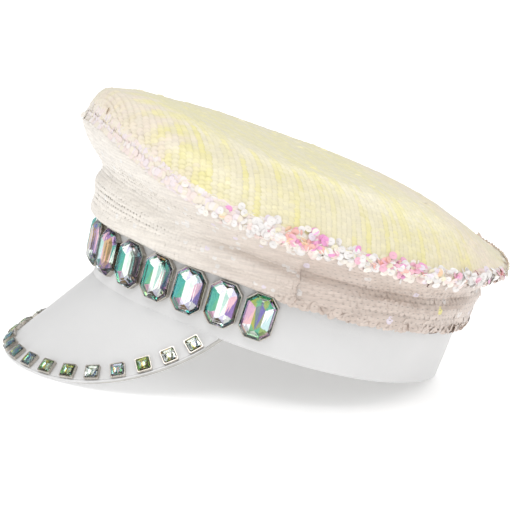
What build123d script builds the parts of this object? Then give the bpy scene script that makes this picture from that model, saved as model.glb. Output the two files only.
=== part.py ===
from build123d import *
import math
import os
from functools import lru_cache

# A festival captain's cap: a sequin crown over a smooth band, a steep visor, faceted stones
# in metal cups along the band and along the visor's edge.
# It is drawn level first: Z is the band's axis, the band's bottom rim lies on z = 0 and the
# visor points to -Y. At the end it is tipped back onto its visor and the back of its band.
# Millimetres and degrees. "Front", "side" and "back" are the wearer's.

# ---- Band ---------------------------------------------------------------------------------
band_length = 206.6          # outside, front to back, along the bottom rim
band_width = 186.8           # outside, side to side, along the bottom rim
band_corner_ease = 0.05      # how far the oval falls inside an ellipse at its four quarters
band_height = 38.0
band_flare_front = 0.110     # outward lean, mm per mm of height
band_flare_back = 0.054
cover_thick = 0.9            # coated fabric
stiffener_thick = 1.2        # card strip
sweatband_thick = 0.8
sweatband_height = 33.0
sweatband_rise = 0.5         # lower edge of the sweatband above the rim
glue_line = 0.1              # gap between two glued layers

# ---- Crown --------------------------------------------------------------------------------
crown_side_height = 30.0     # from the band's top edge up to the rim, at the sides
rim_length = 248.0
rim_width = 236.4
rim_corner_ease = -0.02      # negative: a little fuller than an ellipse
rim_forward = 8.4            # the crown sits this far forward of the band
rim_seam_lift = 0.35         # the seam of the top panel lies just above the widest line
front_rise = 18.5            # how much higher the rim stands at the front than at the sides
front_rise_power = 5.0
back_rise = 7.2
dome_height = 29.5           # top of the crown above the rim at the sides
dome_lean = 0.23             # share by which the dome is higher in front and lower behind
shoulder_power = 6.0         # how square the dome's shoulder is at the sides
shoulder_lean = 0.64         # share by which it is squarer in front and rounder behind
crease_height = 0.50         # height of the fold in the side wall, as a share of the wall
crease_reach = 0.36          # how far the fold stands out from band to rim, as a share
roll_out = 8.5               # the side wall bags out over the band's top edge by this much
roll_tighter_behind = 0.4    # share of that lost at the very back
roll_drop = 5.0              # and hangs this far below it
seam_lean = 3.6              # the side seams lean forward by this much up to the rim
seam_from_centre = 33.5      # foot of each side seam, in front of the band's centre
sequin_fabric_thick = 1.4
padding_thick = 2.0
lining_thick = 0.5
layer_gap = 0.4              # soft layers lie this far apart
slope_allowance = 1.4        # level shift per mm of depth, because the walls slope

# ---- Visor --------------------------------------------------------------------------------
visor_width = 147.6          # across its two ends on the band
visor_reach = 36.5           # level distance from the band to the tip of the visor
visor_slope = 54.6           # degrees below level, at the centre
visor_end_slope = 47.6       # degrees below level, at the two ends
visor_cover_thick = 0.7
visor_board_thick = 1.5
visor_end_angle = 86.0       # the visor's ends are cut square just before the edge closes

# ---- Stones on the band -------------------------------------------------------------------
band_stone_count = 12
band_stone_pitch = 20.0      # along the band
band_stone_height = 19.3     # centre above the band's bottom rim
band_stone_width = 16.8
band_stone_length = 23.8
band_stone_corner = 4.6      # cut-off corner, along each side
band_stone_depth = 5.6
band_stone_girdle = 1.6      # height of the upright part above the back
band_table_inset = 3.4       # from the stone's side to its flat table
cup_wall = 0.6
cup_floor = 0.6
cup_height = 1.9
cup_sink = 1.0               # the cup's back is hollowed by this to follow the band
stone_fit = 0.1              # clearance between a stone and its cup
seat_gap = 0.15              # glue under a cup

# ---- Stones on the visor ------------------------------------------------------------------
visor_stone_count = 18
visor_stone_pitch = 14.84    # along the visor's edge
visor_stone_inset = 4.4      # centre from the visor's edge
visor_stone_size = 7.0
visor_stone_corner = 0.5
visor_stone_depth = 2.6
visor_stone_girdle = 1.0
visor_table_inset = 1.7
small_cup_wall = 0.5
small_cup_floor = 0.4
small_cup_height = 1.4
small_cup_sink = 0.3

# ---- How the curved sheets are drawn ------------------------------------------------------
oval_points = 32             # points of each closed outline
stretch_points = 4           # of them in each stretch of the band's outline
walk_steps = 360             # steps per half turn that measure a length along a curve
visor_sections = 17
halvings = 30                # steps of the search for the band's front at a given x
fine_step = 1e-3             # for directions taken by difference
dome_shares = (1.0, 0.985, 0.96, 0.92, 0.86, 0.77, 0.64, 0.48, 0.30, 0.14)  # rim to centre

band_wall = cover_thick + stiffener_thick + sweatband_thick + 2 * glue_line
half_turn = math.pi


# ---- Outlines -----------------------------------------------------------------------------
def oval(t, length, width, ease):
    """A point of an oval in plan; t = 0 is the front, t = 90 degrees the wearer's left."""
    round_off = 1 - ease * (1 - math.cos(4 * t)) / 2
    return Vector(width / 2 * math.sin(t), -length / 2 * math.cos(t)) * round_off


def outward(outline, t):
    """The level outward direction of a plan outline at t."""
    along = outline(t + fine_step) - outline(t - fine_step)
    return Vector(along.Y, -along.X).normalized()


def band_plan(t):
    return oval(t, band_length, band_width, band_corner_ease)


def rim_plan(t):
    return oval(t, rim_length, rim_width, rim_corner_ease) - Vector(0, rim_forward)


def band_flare(normal):
    mean = (band_flare_front + band_flare_back) / 2
    return mean - (band_flare_front - band_flare_back) / 2 * normal.Y


def band_point(t, height, inset=0.0):
    """A point of the band's outside at a height, moved inwards by inset."""
    normal = outward(band_plan, t)
    level = band_plan(t) + normal * (band_flare(normal) * height - inset)
    return Vector(level.X, level.Y, height)


def rim_height(y):
    """Height of the crown's rim, and of the surface that parts its top from its side."""
    forward = min(max(-(y + rim_forward) / (rim_length / 2), -1.1), 1.1)
    rise = front_rise * forward**front_rise_power if forward > 0 else back_rise * forward**2
    return band_height + crown_side_height + rise


def dome_point(t, share, depth=0.0):
    """A point of the crown's top; share is 1 at the rim and 0 at the centre."""
    rim = rim_plan(t) - outward(rim_plan, t) * (depth * slope_allowance)
    level = rim * share + Vector(0, -rim_forward) * (1 - share)
    forward = -(level.Y + rim_forward) / (rim_length / 2)
    power = shoulder_power * (1 + shoulder_lean * forward)
    lift = (dome_height - depth) * (1 - share**power) * (1 + dome_lean * forward)
    return Vector(level.X, level.Y, rim_height(level.Y) + lift)


def bagged(t, bulge, depth):
    """How far the side wall at a depth stands out at t, where it bags out by bulge at the sides."""
    normal = outward(rim_plan, t)
    share = 1 - roll_tighter_behind * max(normal.Y, 0) ** 2
    return normal * (bulge * share - depth * slope_allowance)


def wall_point(t, height_share, reach_share, bulge, depth=0.0):
    """A point of the crown's side wall, between the band's top edge and the rim."""
    foot = band_point(t, band_height)
    rim = rim_plan(t)
    level = Vector(foot.X, foot.Y) * (1 - reach_share) + rim * reach_share
    level += bagged(t, bulge, depth)
    height = band_height + (rim_height(rim.Y) - band_height) * height_share
    return Vector(level.X, level.Y, height)


def crown_profile(t, depth):
    """The crown at t and at a depth inside it, from the roll over the band to the centre."""
    above_crease = 1 - crease_height
    outside_crease = 1 - crease_reach
    wall = [
        (0.10, 0.0, roll_out),
        (0.28, crease_reach * 0.4, roll_out * 0.7),
        (crease_height, crease_reach, 0.0),
        (crease_height + above_crease * 0.5, crease_reach + outside_crease * 0.5, 0.0),
        (crease_height + above_crease * 0.85, crease_reach + outside_crease * 0.88, 0.0),
    ]
    profile = [wall_point(t, *step, depth) for step in wall]
    profile += [dome_point(t, share, depth) for share in dome_shares]
    return profile


# ---- Solids from outlines -----------------------------------------------------------------
def closed_wire(points):
    marks = [place / len(points) for place in range(len(points) + 1)]
    return Wire([Edge.make_spline(points, periodic=True, parameters=marks)])


def angles():
    return [2 * half_turn * place / oval_points for place in range(oval_points)]


def band_edge(start, height, inset):
    """One of the equal stretches that the band's outline is drawn in."""
    turns = [start + 2 * half_turn * place / oval_points for place in range(stretch_points + 1)]
    points = [band_point(t, height, inset) for t in turns]
    tangents = []
    for t in (turns[0], turns[-1]):
        ahead = band_point(t + fine_step, height, inset)
        tangents.append((ahead - band_point(t - fine_step, height, inset)).normalized())
    return Edge.make_spline(points, tangents=tangents)


def band_solid(low, high, inset):
    """The solid inside the band's outline, moved inwards by inset, between two heights."""
    starts = angles()[::stretch_points]
    wires = [Wire([band_edge(t, z, inset) for t in starts]) for z in (low, high)]
    return Solid.make_loft(wires, ruled=True)


def band_layer(low, high, outer_inset, inner_inset):
    return band_solid(low, high, outer_inset) - band_solid(low - 1, high + 1, inner_inset)


def crown_solid(depth, foot_height, foot_outset):
    """The solid inside the crown at a depth below its outside, on a level foot."""
    columns = []
    for t in angles():
        foot = band_point(t, foot_height) + bagged(t, foot_outset, depth)
        columns.append([foot] + crown_profile(t, depth))
    rings = [list(ring) for ring in zip(*columns)]
    rings[-1] = [flattened(point, depth) for point in rings[-1]]
    return Solid.make_loft([closed_wire(ring) for ring in rings], ruled=True)


def flattened(point, depth):
    """A point near the crown's centre, laid in the plane that closes the crown."""
    centre = dome_point(0, 0.0, depth)
    fall = (dome_height - depth) * dome_lean / (rim_length / 2)
    return Vector(point.X, point.Y, centre.Z - fall * (point.Y - centre.Y))


def above_rim():
    """Everything above the crown's rim, by which its top is parted from its side."""
    reach = rim_length
    steps = [reach * (place / 24 - 0.5) * 1.4 - rim_forward for place in range(25)]
    curve = Edge.make_spline([Vector(0, y, rim_height(y) + rim_seam_lift) for y in steps])
    ceiling = rim_height(-reach) + dome_height * 4
    low_back = curve @ 1
    low_front = curve @ 0
    frame = Polyline(low_back, (0, low_back.Y, ceiling), (0, low_front.Y, ceiling), low_front)
    side = Face(Wire([curve] + list(frame.edges())))
    return extrude(side, amount=rim_width, dir=(1, 0, 0), both=True)


def ahead_of_seams():
    """Everything in front of the two side seams, which lean forward as they rise."""
    reach = rim_length
    lean = math.degrees(math.atan2(seam_lean, crown_side_height))
    block = Box(2 * reach, reach, 4 * reach, align=(Align.CENTER, Align.MAX, Align.CENTER))
    return Pos(0, -seam_from_centre, band_height) * Rot(X=lean) * block


# ---- Crown --------------------------------------------------------------------------------
def only(shape):
    """The one solid that a cut leaves."""
    solids = sorted(shape.solids(), key=lambda solid: solid.volume)
    return solids[-1]


def make_crown():
    pieces = {}
    over_rim = above_rim()
    ahead = ahead_of_seams()
    opening = band_solid(0, band_height + 12, band_wall)
    band_space = band_solid(band_height - 2 * roll_drop, band_height, -layer_gap)
    outside = crown_solid(0, band_height - roll_drop, roll_out * 0.6)
    flange_top = band_height + sequin_fabric_thick
    depth = sequin_fabric_thick
    fabric = outside - crown_solid(depth, flange_top, roll_out)
    top = only(fabric & over_rim)
    side = fabric - over_rim - band_space - opening
    pieces["crown_top_panel"] = top
    pieces["crown_side_front"] = only(side & ahead)
    pieces["crown_side_back"] = only(side - ahead)
    for name, thick in (("crown_padding", padding_thick), ("crown_lining", lining_thick)):
        depth += layer_gap
        foot = flange_top + layer_gap
        layer = crown_solid(depth, foot, roll_out)
        layer = layer - crown_solid(depth + thick, foot - layer_gap, roll_out)
        pieces[name + "_top"] = only(layer & over_rim)
        pieces[name + "_side"] = only(layer - over_rim)
        depth += thick
    return pieces


# ---- Band ---------------------------------------------------------------------------------
def make_band():
    inside_cover = cover_thick + glue_line
    inside_stiffener = inside_cover + stiffener_thick + glue_line
    lip_top = cover_thick
    cover = band_solid(0, band_height, 0) - band_solid(lip_top, band_height + 1, cover_thick)
    cover = cover - band_solid(-1, band_height, inside_stiffener - glue_line)
    stiffener_top = band_height - glue_line
    return {
        "band_cover": cover,
        "band_stiffener": band_layer(
            lip_top + glue_line, stiffener_top, inside_cover, inside_stiffener - glue_line
        ),
        "sweatband": band_layer(sweatband_rise, sweatband_height, inside_stiffener, band_wall),
    }


# ---- Visor --------------------------------------------------------------------------------
@lru_cache(maxsize=None)
def band_front_at(x):
    """How far forward the band's bottom rim stands at x."""
    low = 0.0
    high = half_turn / 2
    for _ in range(halvings):
        middle = (low + high) / 2
        if band_plan(middle).X < abs(x):
            low = middle
        else:
            high = middle
    return -band_plan(low).Y


def visor_plan(turn):
    """The visor's edge in plan; turn runs from -90 degrees at the right to 90 at the left."""
    end = band_front_at(visor_width / 2)
    tip = band_length / 2 + visor_reach
    return Vector(visor_width / 2 * math.sin(turn), -(end + (tip - end) * math.cos(turn)))


def visor_angle(x):
    """The visor's slope at x, in radians below level."""
    steep = math.tan(math.radians(visor_slope))
    shallow = math.tan(math.radians(visor_end_slope))
    return math.atan(steep + (shallow - steep) * (2 * x / visor_width) ** 2)


def visor_edge(turn):
    """A point of the visor's edge on its upper surface."""
    plan = visor_plan(turn)
    drop = math.tan(visor_angle(plan.X)) * (-plan.Y - band_front_at(plan.X))
    return Vector(plan.X, plan.Y, -drop)


def visor_surface_height(x, y):
    return -math.tan(visor_angle(x)) * (-y - band_front_at(x))


def visor_normal(point):
    """Outward direction of the visor's upper surface."""
    step = 0.05
    rise_x = visor_surface_height(point.X + step, point.Y)
    rise_x = (rise_x - visor_surface_height(point.X - step, point.Y)) / (2 * step)
    rise_y = math.tan(visor_angle(point.X))
    return Vector(-rise_x, -rise_y, 1).normalized()


def visor_layer(low_depth, high_depth):
    """A sheet of the visor between two depths below its upper surface."""
    sections = []
    end = math.radians(visor_end_angle)
    for place in range(visor_sections):
        turn = -end + 2 * end * place / (visor_sections - 1)
        edge = visor_edge(turn)
        slope = visor_angle(edge.X)
        root = -band_front_at(edge.X)
        inwards = Vector(0, math.sin(slope), -math.cos(slope))
        corners = [
            Vector(edge.X, root + low_depth / math.sin(slope), 0),
            edge + inwards * low_depth,
            edge + inwards * high_depth,
            Vector(edge.X, root + high_depth / math.sin(slope), 0),
        ]
        sections.append(Wire.make_polygon(corners, close=True))
    return Solid.make_loft(sections)


def make_visor():
    board_top = visor_cover_thick + glue_line
    board_under = board_top + visor_board_thick
    under_top = board_under + glue_line
    return {
        "visor_top_cover": visor_layer(0, visor_cover_thick),
        "visor_board": visor_layer(board_top, board_under),
        "visor_under_cover": visor_layer(under_top, under_top + visor_cover_thick),
    }


# ---- Stones and their cups ----------------------------------------------------------------
def walk(curve, distances):
    """The parameters at which a curve, followed both ways from 0, has run some distances."""
    found = {}
    for way in (-1, 1):
        step = way * half_turn / walk_steps
        run = 0.0
        t = 0.0
        here = curve(t)
        for distance in sorted((d for d in distances if d * way > 0), key=abs):
            while run < abs(distance):
                last = here
                t += step
                here = curve(t)
                stride = (here - last).length
                run += stride
            found[distance] = t - step * (run - abs(distance)) / stride
    return found


def row_places(count, pitch):
    return [(place - (count - 1) / 2) * pitch for place in range(count)]


def cut_rectangle(width, length, corner):
    return chamfer(Rectangle(width, length).vertices(), corner)


def cut_stone(width, length, corner, girdle, depth, inset):
    """A stone with a flat back at z = 0, an upright girdle and a flat table on top."""
    base = extrude(cut_rectangle(width, length, corner), girdle)
    table_width = width - 2 * inset
    table = cut_rectangle(table_width, length - 2 * inset, corner * table_width / width)
    top = cut_rectangle(width, length, corner)
    crown = loft([Pos(0, 0, girdle) * top, Pos(0, 0, depth) * table])
    return base + crown


def cup(width, length, corner, wall, floor, height, sink):
    """An open cup round a stone of the given outline, with its floor's top at z = 0."""
    inner = cut_rectangle(width + 2 * stone_fit, length + 2 * stone_fit, corner)
    outer = cut_rectangle(width + 2 * (stone_fit + wall), length + 2 * (stone_fit + wall), corner)
    body = Pos(0, 0, -floor - sink) * extrude(outer, height + floor + sink)
    return body - extrude(inner, height + 1)


def make_band_stones():
    pieces = {}
    middle = lambda t: band_point(t, band_stone_height)
    distances = row_places(band_stone_count, band_stone_pitch)
    turns = walk(middle, distances)
    keep_clear = band_solid(0, band_height, -seat_gap)
    stone = cut_stone(
        band_stone_width, band_stone_length, band_stone_corner,
        band_stone_girdle, band_stone_depth, band_table_inset,
    )
    holder = cup(
        band_stone_width, band_stone_length, band_stone_corner,
        cup_wall, cup_floor, cup_height, cup_sink,
    )
    for number, distance in enumerate(distances, start=1):
        t = turns[distance]
        normal = outward(band_plan, t)
        square = Vector(normal.X, normal.Y, -band_flare(normal)).normalized()
        along = Vector(-normal.Y, normal.X)
        centre = middle(t) + square * (seat_gap + cup_floor)
        seat = Plane(origin=centre, x_dir=along, z_dir=square)
        pieces[f"band_stone_{number:02d}"] = seat * stone
        pieces[f"band_stone_cup_{number:02d}"] = only(seat * holder - keep_clear)
    return pieces


def make_visor_stones():
    pieces = {}
    distances = row_places(visor_stone_count, visor_stone_pitch)
    turns = walk(visor_edge, distances)
    stone = cut_stone(
        visor_stone_size, visor_stone_size, visor_stone_corner,
        visor_stone_girdle, visor_stone_depth, visor_table_inset,
    )
    holder = cup(
        visor_stone_size, visor_stone_size, visor_stone_corner,
        small_cup_wall, small_cup_floor, small_cup_height, 0,
    )
    cups = []
    for number, distance in enumerate(distances, start=1):
        turn = turns[distance]
        edge = visor_edge(turn)
        along = (visor_edge(turn + fine_step) - visor_edge(turn - fine_step)).normalized()
        square = visor_normal(edge)
        inwards = square.cross(along).normalized()
        point = edge + inwards * visor_stone_inset
        point = Vector(point.X, point.Y, visor_surface_height(point.X, point.Y))
        square = visor_normal(point)
        centre = point + square * (small_cup_sink + small_cup_floor)
        seat = Plane(origin=centre, x_dir=along, z_dir=square)
        pieces[f"visor_stone_{number:02d}"] = seat * stone
        cups.append(seat * holder)
    pieces["visor_stone_cups"] = Compound(children=cups)
    return pieces


# ---- The whole cap, set down to rest ------------------------------------------------------
def resting_tilt():
    """The angle at which the visor's tip and the back of the band share one level floor."""
    thick = 2 * (visor_cover_thick + glue_line) + visor_board_thick
    slope = math.radians(visor_slope)
    tip = visor_edge(0) + Vector(0, math.sin(slope), -math.cos(slope)) * thick
    heel = band_point(half_turn, 0)
    return math.degrees(math.atan2(heel.Z - tip.Z, heel.Y - tip.Y))


def make_cap():
    pieces = {}
    pieces.update(make_crown())
    pieces.update(make_band())
    pieces.update(make_visor())
    pieces.update(make_band_stones())
    pieces.update(make_visor_stones())
    tilt = Rot(X=-resting_tilt())
    tipped = {name: tilt * piece for name, piece in pieces.items()}
    boxes = [piece.bounding_box() for piece in tipped.values()]
    low = min(box.min.Z for box in boxes)
    front = min(box.min.Y for box in boxes)
    back = max(box.max.Y for box in boxes)
    set_down = Pos(0, -(front + back) / 2, -low)
    print(f"tilt {resting_tilt():.3f} degrees, moved {-(front + back) / 2:.3f}, {-low:.3f}")
    return {name: set_down * piece for name, piece in tipped.items()}


os.makedirs("parts", exist_ok=True)
for name, piece in make_cap().items():
    export_step(piece, f"parts/{name}.step")
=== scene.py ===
import math

import bpy
import numpy as np
from mathutils import Matrix, Vector


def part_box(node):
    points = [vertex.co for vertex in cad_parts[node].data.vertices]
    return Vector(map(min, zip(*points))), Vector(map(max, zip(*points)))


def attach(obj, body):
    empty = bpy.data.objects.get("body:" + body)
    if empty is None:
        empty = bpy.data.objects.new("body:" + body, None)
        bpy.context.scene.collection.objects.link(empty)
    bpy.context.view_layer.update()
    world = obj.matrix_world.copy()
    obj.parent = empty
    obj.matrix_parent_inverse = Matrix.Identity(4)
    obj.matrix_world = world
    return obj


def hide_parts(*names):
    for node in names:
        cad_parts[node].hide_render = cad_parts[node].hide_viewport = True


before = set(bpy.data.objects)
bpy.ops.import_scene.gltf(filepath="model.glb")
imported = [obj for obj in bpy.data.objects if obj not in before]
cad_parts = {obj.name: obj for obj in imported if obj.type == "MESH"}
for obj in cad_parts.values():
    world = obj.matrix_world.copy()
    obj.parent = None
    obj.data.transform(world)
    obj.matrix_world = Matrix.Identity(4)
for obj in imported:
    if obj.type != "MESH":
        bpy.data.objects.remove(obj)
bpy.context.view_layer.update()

bl_info = {
    "name": "Festival Captain Cap",
    "version": (1, 0, 0),
    "blender": (4, 5, 0),
    "location": "3D View > Sidebar > Captain Cap",
    "description": "Sequin crown, smooth band and visor, and cut stones in metal cups",
    "category": "Add Mesh",
}

# The cap is worked out level, in millimetres: Z is the band's axis, the band's bottom rim
# lies on z = 0 and the visor points to -Y. set_down() tips it onto its visor's tip.
BAND_LENGTH, BAND_WIDTH, BAND_EASE, BAND_HEIGHT = 206.6, 186.8, 0.05, 38.0
FLARE_FRONT, FLARE_BACK = 0.110, 0.054
RIM_LENGTH, RIM_WIDTH, RIM_EASE, RIM_FORWARD = 248.0, 236.4, -0.02, 8.4
SIDE_HEIGHT, FRONT_RISE, FRONT_POWER, BACK_RISE = 30.0, 18.5, 5.0, 7.2
DOME_HEIGHT, DOME_LEAN, SHOULDER, SHOULDER_LEAN = 29.5, 0.23, 6.0, 0.64
SEAM_LEAN, SEAM_FORWARD = 3.6, 33.5
VISOR_WIDTH, VISOR_REACH, VISOR_SLOPE, VISOR_END_SLOPE = 147.6, 36.5, 54.6, 47.6
VISOR_THICK, VISOR_COVER = 3.1, 0.7
BAND_STONES, BAND_STONE_PITCH, BAND_STONE_UP = 12, 20.0, 19.3
VISOR_STONES, VISOR_STONE_PITCH, VISOR_STONE_INSET = 18, 14.84, 4.4
LINING_DEPTH, LINING_THICK, PADDING_DEPTH, PADDING_THICK = 4.3, 0.4, 1.9, 1.7
VISOR_END_ANGLE, BACK_RADIUS, RIM_RADIUS = 86.0, 103, 105.0
TOP_ROWS_END, SIDE_ROWS_END, EDGING = 0.997, 0.992, 400
TILT = math.radians(12.46)
COS, SIN = math.cos(TILT), math.sin(TILT)
BAND_LOW, BAND_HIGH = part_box("band_cover")
DOWN_Y = BAND_HIGH.y - (0.10535 * COS + 0.038 * SIN)
DOWN_Z = BAND_LOW.z + 0.1033 * SIN


# ---- Outlines and surfaces -----------------------------------------------------------------
def turned(v):
    """Directions of the level cap, turned to how it rests."""
    v = np.asarray(v, float)
    return np.stack((v[..., 0], v[..., 1] * COS + v[..., 2] * SIN,
                     -v[..., 1] * SIN + v[..., 2] * COS), -1)


def set_down(points):
    """Points of the level cap in millimetres, as metres where the cap rests."""
    return turned(points) * 0.001 + np.array((0.0, DOWN_Y, DOWN_Z))


def unit(v):
    return v / np.maximum(np.linalg.norm(v, axis=-1, keepdims=True), 1e-12)


def hump(x, centre, width):
    return np.exp(-((x - centre) / width) ** 2)


def fade(x, start, over, low=0.0, high=1.0):
    """Rises from low at start to high, over the given stretch of x."""
    return np.clip((x - start) / over, low, high)


def run_along(path):
    """Lengths run along a row of points."""
    return np.concatenate(((0,), np.cumsum(np.linalg.norm(np.diff(path, axis=0), axis=-1))))


def from_front(t):
    """The angle between a turn and the front, either way round."""
    return np.abs(np.angle(np.exp(1j * t)))


def oval(t, length, width, ease):
    t = np.asarray(t, float)
    round_off = 1 - ease * (1 - np.cos(4 * t)) / 2
    return np.stack((width / 2 * np.sin(t) * round_off, -length / 2 * np.cos(t) * round_off), -1)


def band_plan(t):
    return oval(t, BAND_LENGTH, BAND_WIDTH, BAND_EASE)


def rim_plan(t):
    return oval(t, RIM_LENGTH, RIM_WIDTH, RIM_EASE) - np.array((0.0, RIM_FORWARD))


def outward(outline, t):
    along = outline(t + 1e-3) - outline(t - 1e-3)
    return unit(np.stack((along[..., 1], -along[..., 0]), -1))


def level_point(plan, z):
    plan, z = np.broadcast_arrays(plan, np.asarray(z, float)[..., None])
    return np.concatenate((plan, z[..., :1]), -1)


def band_flare(normal):
    """The slope of the band's wall, which leans outwards as it rises."""
    return (FLARE_FRONT + FLARE_BACK) / 2 - (FLARE_FRONT - FLARE_BACK) / 2 * normal[..., 1]


def band_point(t, z, inset=0.0):
    n = outward(band_plan, t)
    flare = band_flare(n)
    return level_point(band_plan(t) + n * (flare * z - inset)[..., None], z + 0 * flare)


def rim_height(y):
    forward = np.clip(-(y + RIM_FORWARD) / (RIM_LENGTH / 2), -1.1, 1.1)
    rise = np.where(forward > 0, FRONT_RISE * np.maximum(forward, 0) ** FRONT_POWER,
                    BACK_RISE * forward ** 2)
    return BAND_HEIGHT + SIDE_HEIGHT + rise


def waves(seed, t, s, counts, depth):
    """A soft uneven swell that closes round the cap."""
    rng = np.random.default_rng(seed)
    total = 0.0 * (t + s)
    for count in counts:
        a, b, c = rng.uniform(0, 2 * math.pi, 3)
        total = total + np.sin(count * t + a + 1.4 * np.sin(3 * s + b)) * np.cos(2.5 * s + c)
    return depth * total / math.sqrt(len(counts))


def dome_point(t, share, depth=0.0, swell=1.0):
    """The crown's top; share is 1 at the rim and 0 at the centre."""
    t, share = np.broadcast_arrays(np.asarray(t, float), np.asarray(share, float))
    rim = rim_plan(t) - outward(rim_plan, t) * (depth * 1.4)
    level = rim * share[..., None] + np.array((0.0, -RIM_FORWARD)) * (1 - share[..., None])
    forward = -(level[..., 1] + RIM_FORWARD) / (RIM_LENGTH / 2)
    power = SHOULDER * (1 + SHOULDER_LEAN * forward)
    lift = (DOME_HEIGHT - depth) * (1 - share ** power) * (1 + DOME_LEAN * forward)
    lift = lift + swell * (1 - share ** 4) * (
        waves(3, t, 3 * share, (2, 3, 5), 0.55) * share
        + waves(4, t, 9 * share, (5, 8, 13), 0.35) * share ** 2)
    front = np.clip(forward, 0, 1) ** 3
    lift = lift + 3.4 * front * hump(share, 0.945, 0.05) * (1 - share ** 30)
    drawn_in = front * (1.6 * hump(share, 1, 0.02) - 1.7 * hump(share, 0.94, 0.05))
    level = level - outward(rim_plan, t) * drawn_in[..., None]
    return level_point(level, rim_height(level[..., 1]) + lift)


# Height share, reach share, bulge and drop of the side wall from its seam allowance on the
# band, down and round the roll that hangs over the band, past the crease, up to the rim.
WALL_STEPS = np.array((
    (0, 0, -3.0, -0.2), (0, 0, -0.2, -0.25), (0, 0, 0.8, 0.6), (0, 0, 1.7, 3.5),
    (0, 0, 4.4, 5.0), (0, 0, 7.3, 3.8), (0, 0, 8.6, 0.6), (0.10, 0, 8.7, 0),
    (0.28, 0.144, 6.2, 0), (0.48, 0.34, -0.5, 0), (0.60, 0.48, -0.9, 0),
    (0.77, 0.71, 0.5, 0), (0.925, 0.923, 0.5, 0), (1, 1, 0, 0)))
WALL_RUNS = np.array((2.8, 1.3, 3.1, 3.1, 3.2, 3.4, 3.8, 5.4, 7.4, 4.5, 7.0, 6.6, 3.0))
WALL_AT = np.concatenate(((0,), np.cumsum(WALL_RUNS))) / WALL_RUNS.sum()
ROLL_BOTTOM = WALL_AT[4]


def wall_step(s):
    """The wall's step at s, on a smooth curve through the steps above."""
    s = np.clip(s, 0, 1)
    i = np.clip(np.searchsorted(WALL_AT, s, side="right") - 1, 0, len(WALL_RUNS) - 1)
    slope = np.gradient(WALL_STEPS, WALL_AT, axis=0)
    gap = (WALL_AT[i + 1] - WALL_AT[i])[..., None]
    u = (s[..., None] - WALL_AT[i][..., None]) / gap
    return ((2 * u ** 3 - 3 * u ** 2 + 1) * WALL_STEPS[i]
            + (u ** 3 - 2 * u ** 2 + u) * gap * slope[i]
            + (3 * u ** 2 - 2 * u ** 3) * WALL_STEPS[i + 1]
            + (u ** 3 - u ** 2) * gap * slope[i + 1])


def wall_base(t, s, depth=0.0):
    t, s = np.broadcast_arrays(np.asarray(t, float), np.asarray(s, float))
    step = wall_step(s)
    foot = band_point(t, np.full_like(t, BAND_HEIGHT))[..., :2]
    rim = rim_plan(t)
    reach = step[..., 1:2]
    over = fade(s, ROLL_BOTTOM, 1 - ROLL_BOTTOM)
    swell = np.sin(math.pi * over) * waves(7, t, 5 * s, (3, 5, 9, 14), 1.0)
    sag = hump(s - ROLL_BOTTOM, 0.05, 0.09) * waves(8, t, 0 * s, (4, 7, 11, 17), 0.8)
    level = foot * (1 - reach) + rim * reach
    way = outward(rim_plan, t)
    tighter = np.maximum(way[..., 1], 0) ** 2 * np.clip(step[..., 2] / 6, 0, 1)
    level = level + way * (step[..., 2] * (1 - 0.5 * tighter) + swell - 1.4 * depth)[..., None]
    sag = sag + 1.6 * tighter * np.clip(1 - over / 0.3, 0, 1)
    ahead = np.maximum(-way[..., 1], 0) ** 1.5
    fuller = 4.8 * hump(over, 0.72, 0.2) - 2.1 * hump(over, 1, 0.06)
    level = level + way * (ahead * fuller)[..., None]
    z = BAND_HEIGHT + (rim_height(rim[..., 1]) - BAND_HEIGHT) * step[..., 0] - step[..., 3]
    return level_point(level, z + sag)


def seam_turn(s):
    """The turn at which the left side seam crosses the wall at s."""
    s = np.atleast_1d(np.asarray(s, float))
    t = np.linspace(1.0, 2.4, 281)
    wall = wall_base(t[None, :], s[:, None])
    line = -SEAM_FORWARD - SEAM_LEAN * (wall[..., 2] - BAND_HEIGHT) / SIDE_HEIGHT
    behind = wall[..., 1] - line
    return np.array([np.interp(0.0, row, t) for row in behind])


SEAM_S = np.linspace(0, 1, 61)
SEAM_T = seam_turn(SEAM_S)


def wall_point(t, s):
    """The side wall with its side seams drawn in; t runs from -180 to 180 degrees."""
    t, s = np.broadcast_arrays(np.asarray(t, float), np.asarray(s, float))
    base = wall_base(t, s)
    seam = np.interp(s, SEAM_S, SEAM_T)
    off = (from_front(t) - seam) * RIM_RADIUS
    in_front = np.where(off < 0, 1.0, 0.0)
    plump = in_front * 2.0 * hump(off, -3.5, 4) * fade(off, 0, -1.6) ** 0.5
    plump = plump - (1 - in_front) * 1.3 * hump(off, 0, 5)
    plump = plump * fade(s, ROLL_BOTTOM, 0.1) * fade(s, 1, -0.12)
    normal = outward(rim_plan, t)
    base[..., :2] += normal * plump[..., None]
    return base


def frames(surface, a, b):
    """Points, outward normals and directions of growing a on a surface."""
    step = 1e-4
    point = surface(a, b)
    da = unit(surface(a + step, b) - surface(a - step, b))
    db = surface(a, b + step) - surface(a, b - step)
    return point, unit(np.cross(da, db)), da


def visor_tan(x):
    steep, shallow = math.tan(math.radians(VISOR_SLOPE)), math.tan(math.radians(VISOR_END_SLOPE))
    return steep + (shallow - steep) * (2 * x / VISOR_WIDTH) ** 2


FRONT_T = np.linspace(0, math.pi / 2, 721)
FRONT_XY = band_plan(FRONT_T)


def band_front_at(x):
    return -np.interp(np.abs(x), FRONT_XY[:, 0], FRONT_XY[:, 1])


def visor_height(x, y):
    return -visor_tan(x) * (-y - band_front_at(x))


def visor_edge(t):
    end = band_front_at(VISOR_WIDTH / 2)
    x = VISOR_WIDTH / 2 * np.sin(t)
    y = -(end + (BAND_LENGTH / 2 + VISOR_REACH - end) * np.cos(t))
    return np.stack((x, y, visor_height(x, y)), -1)


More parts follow.
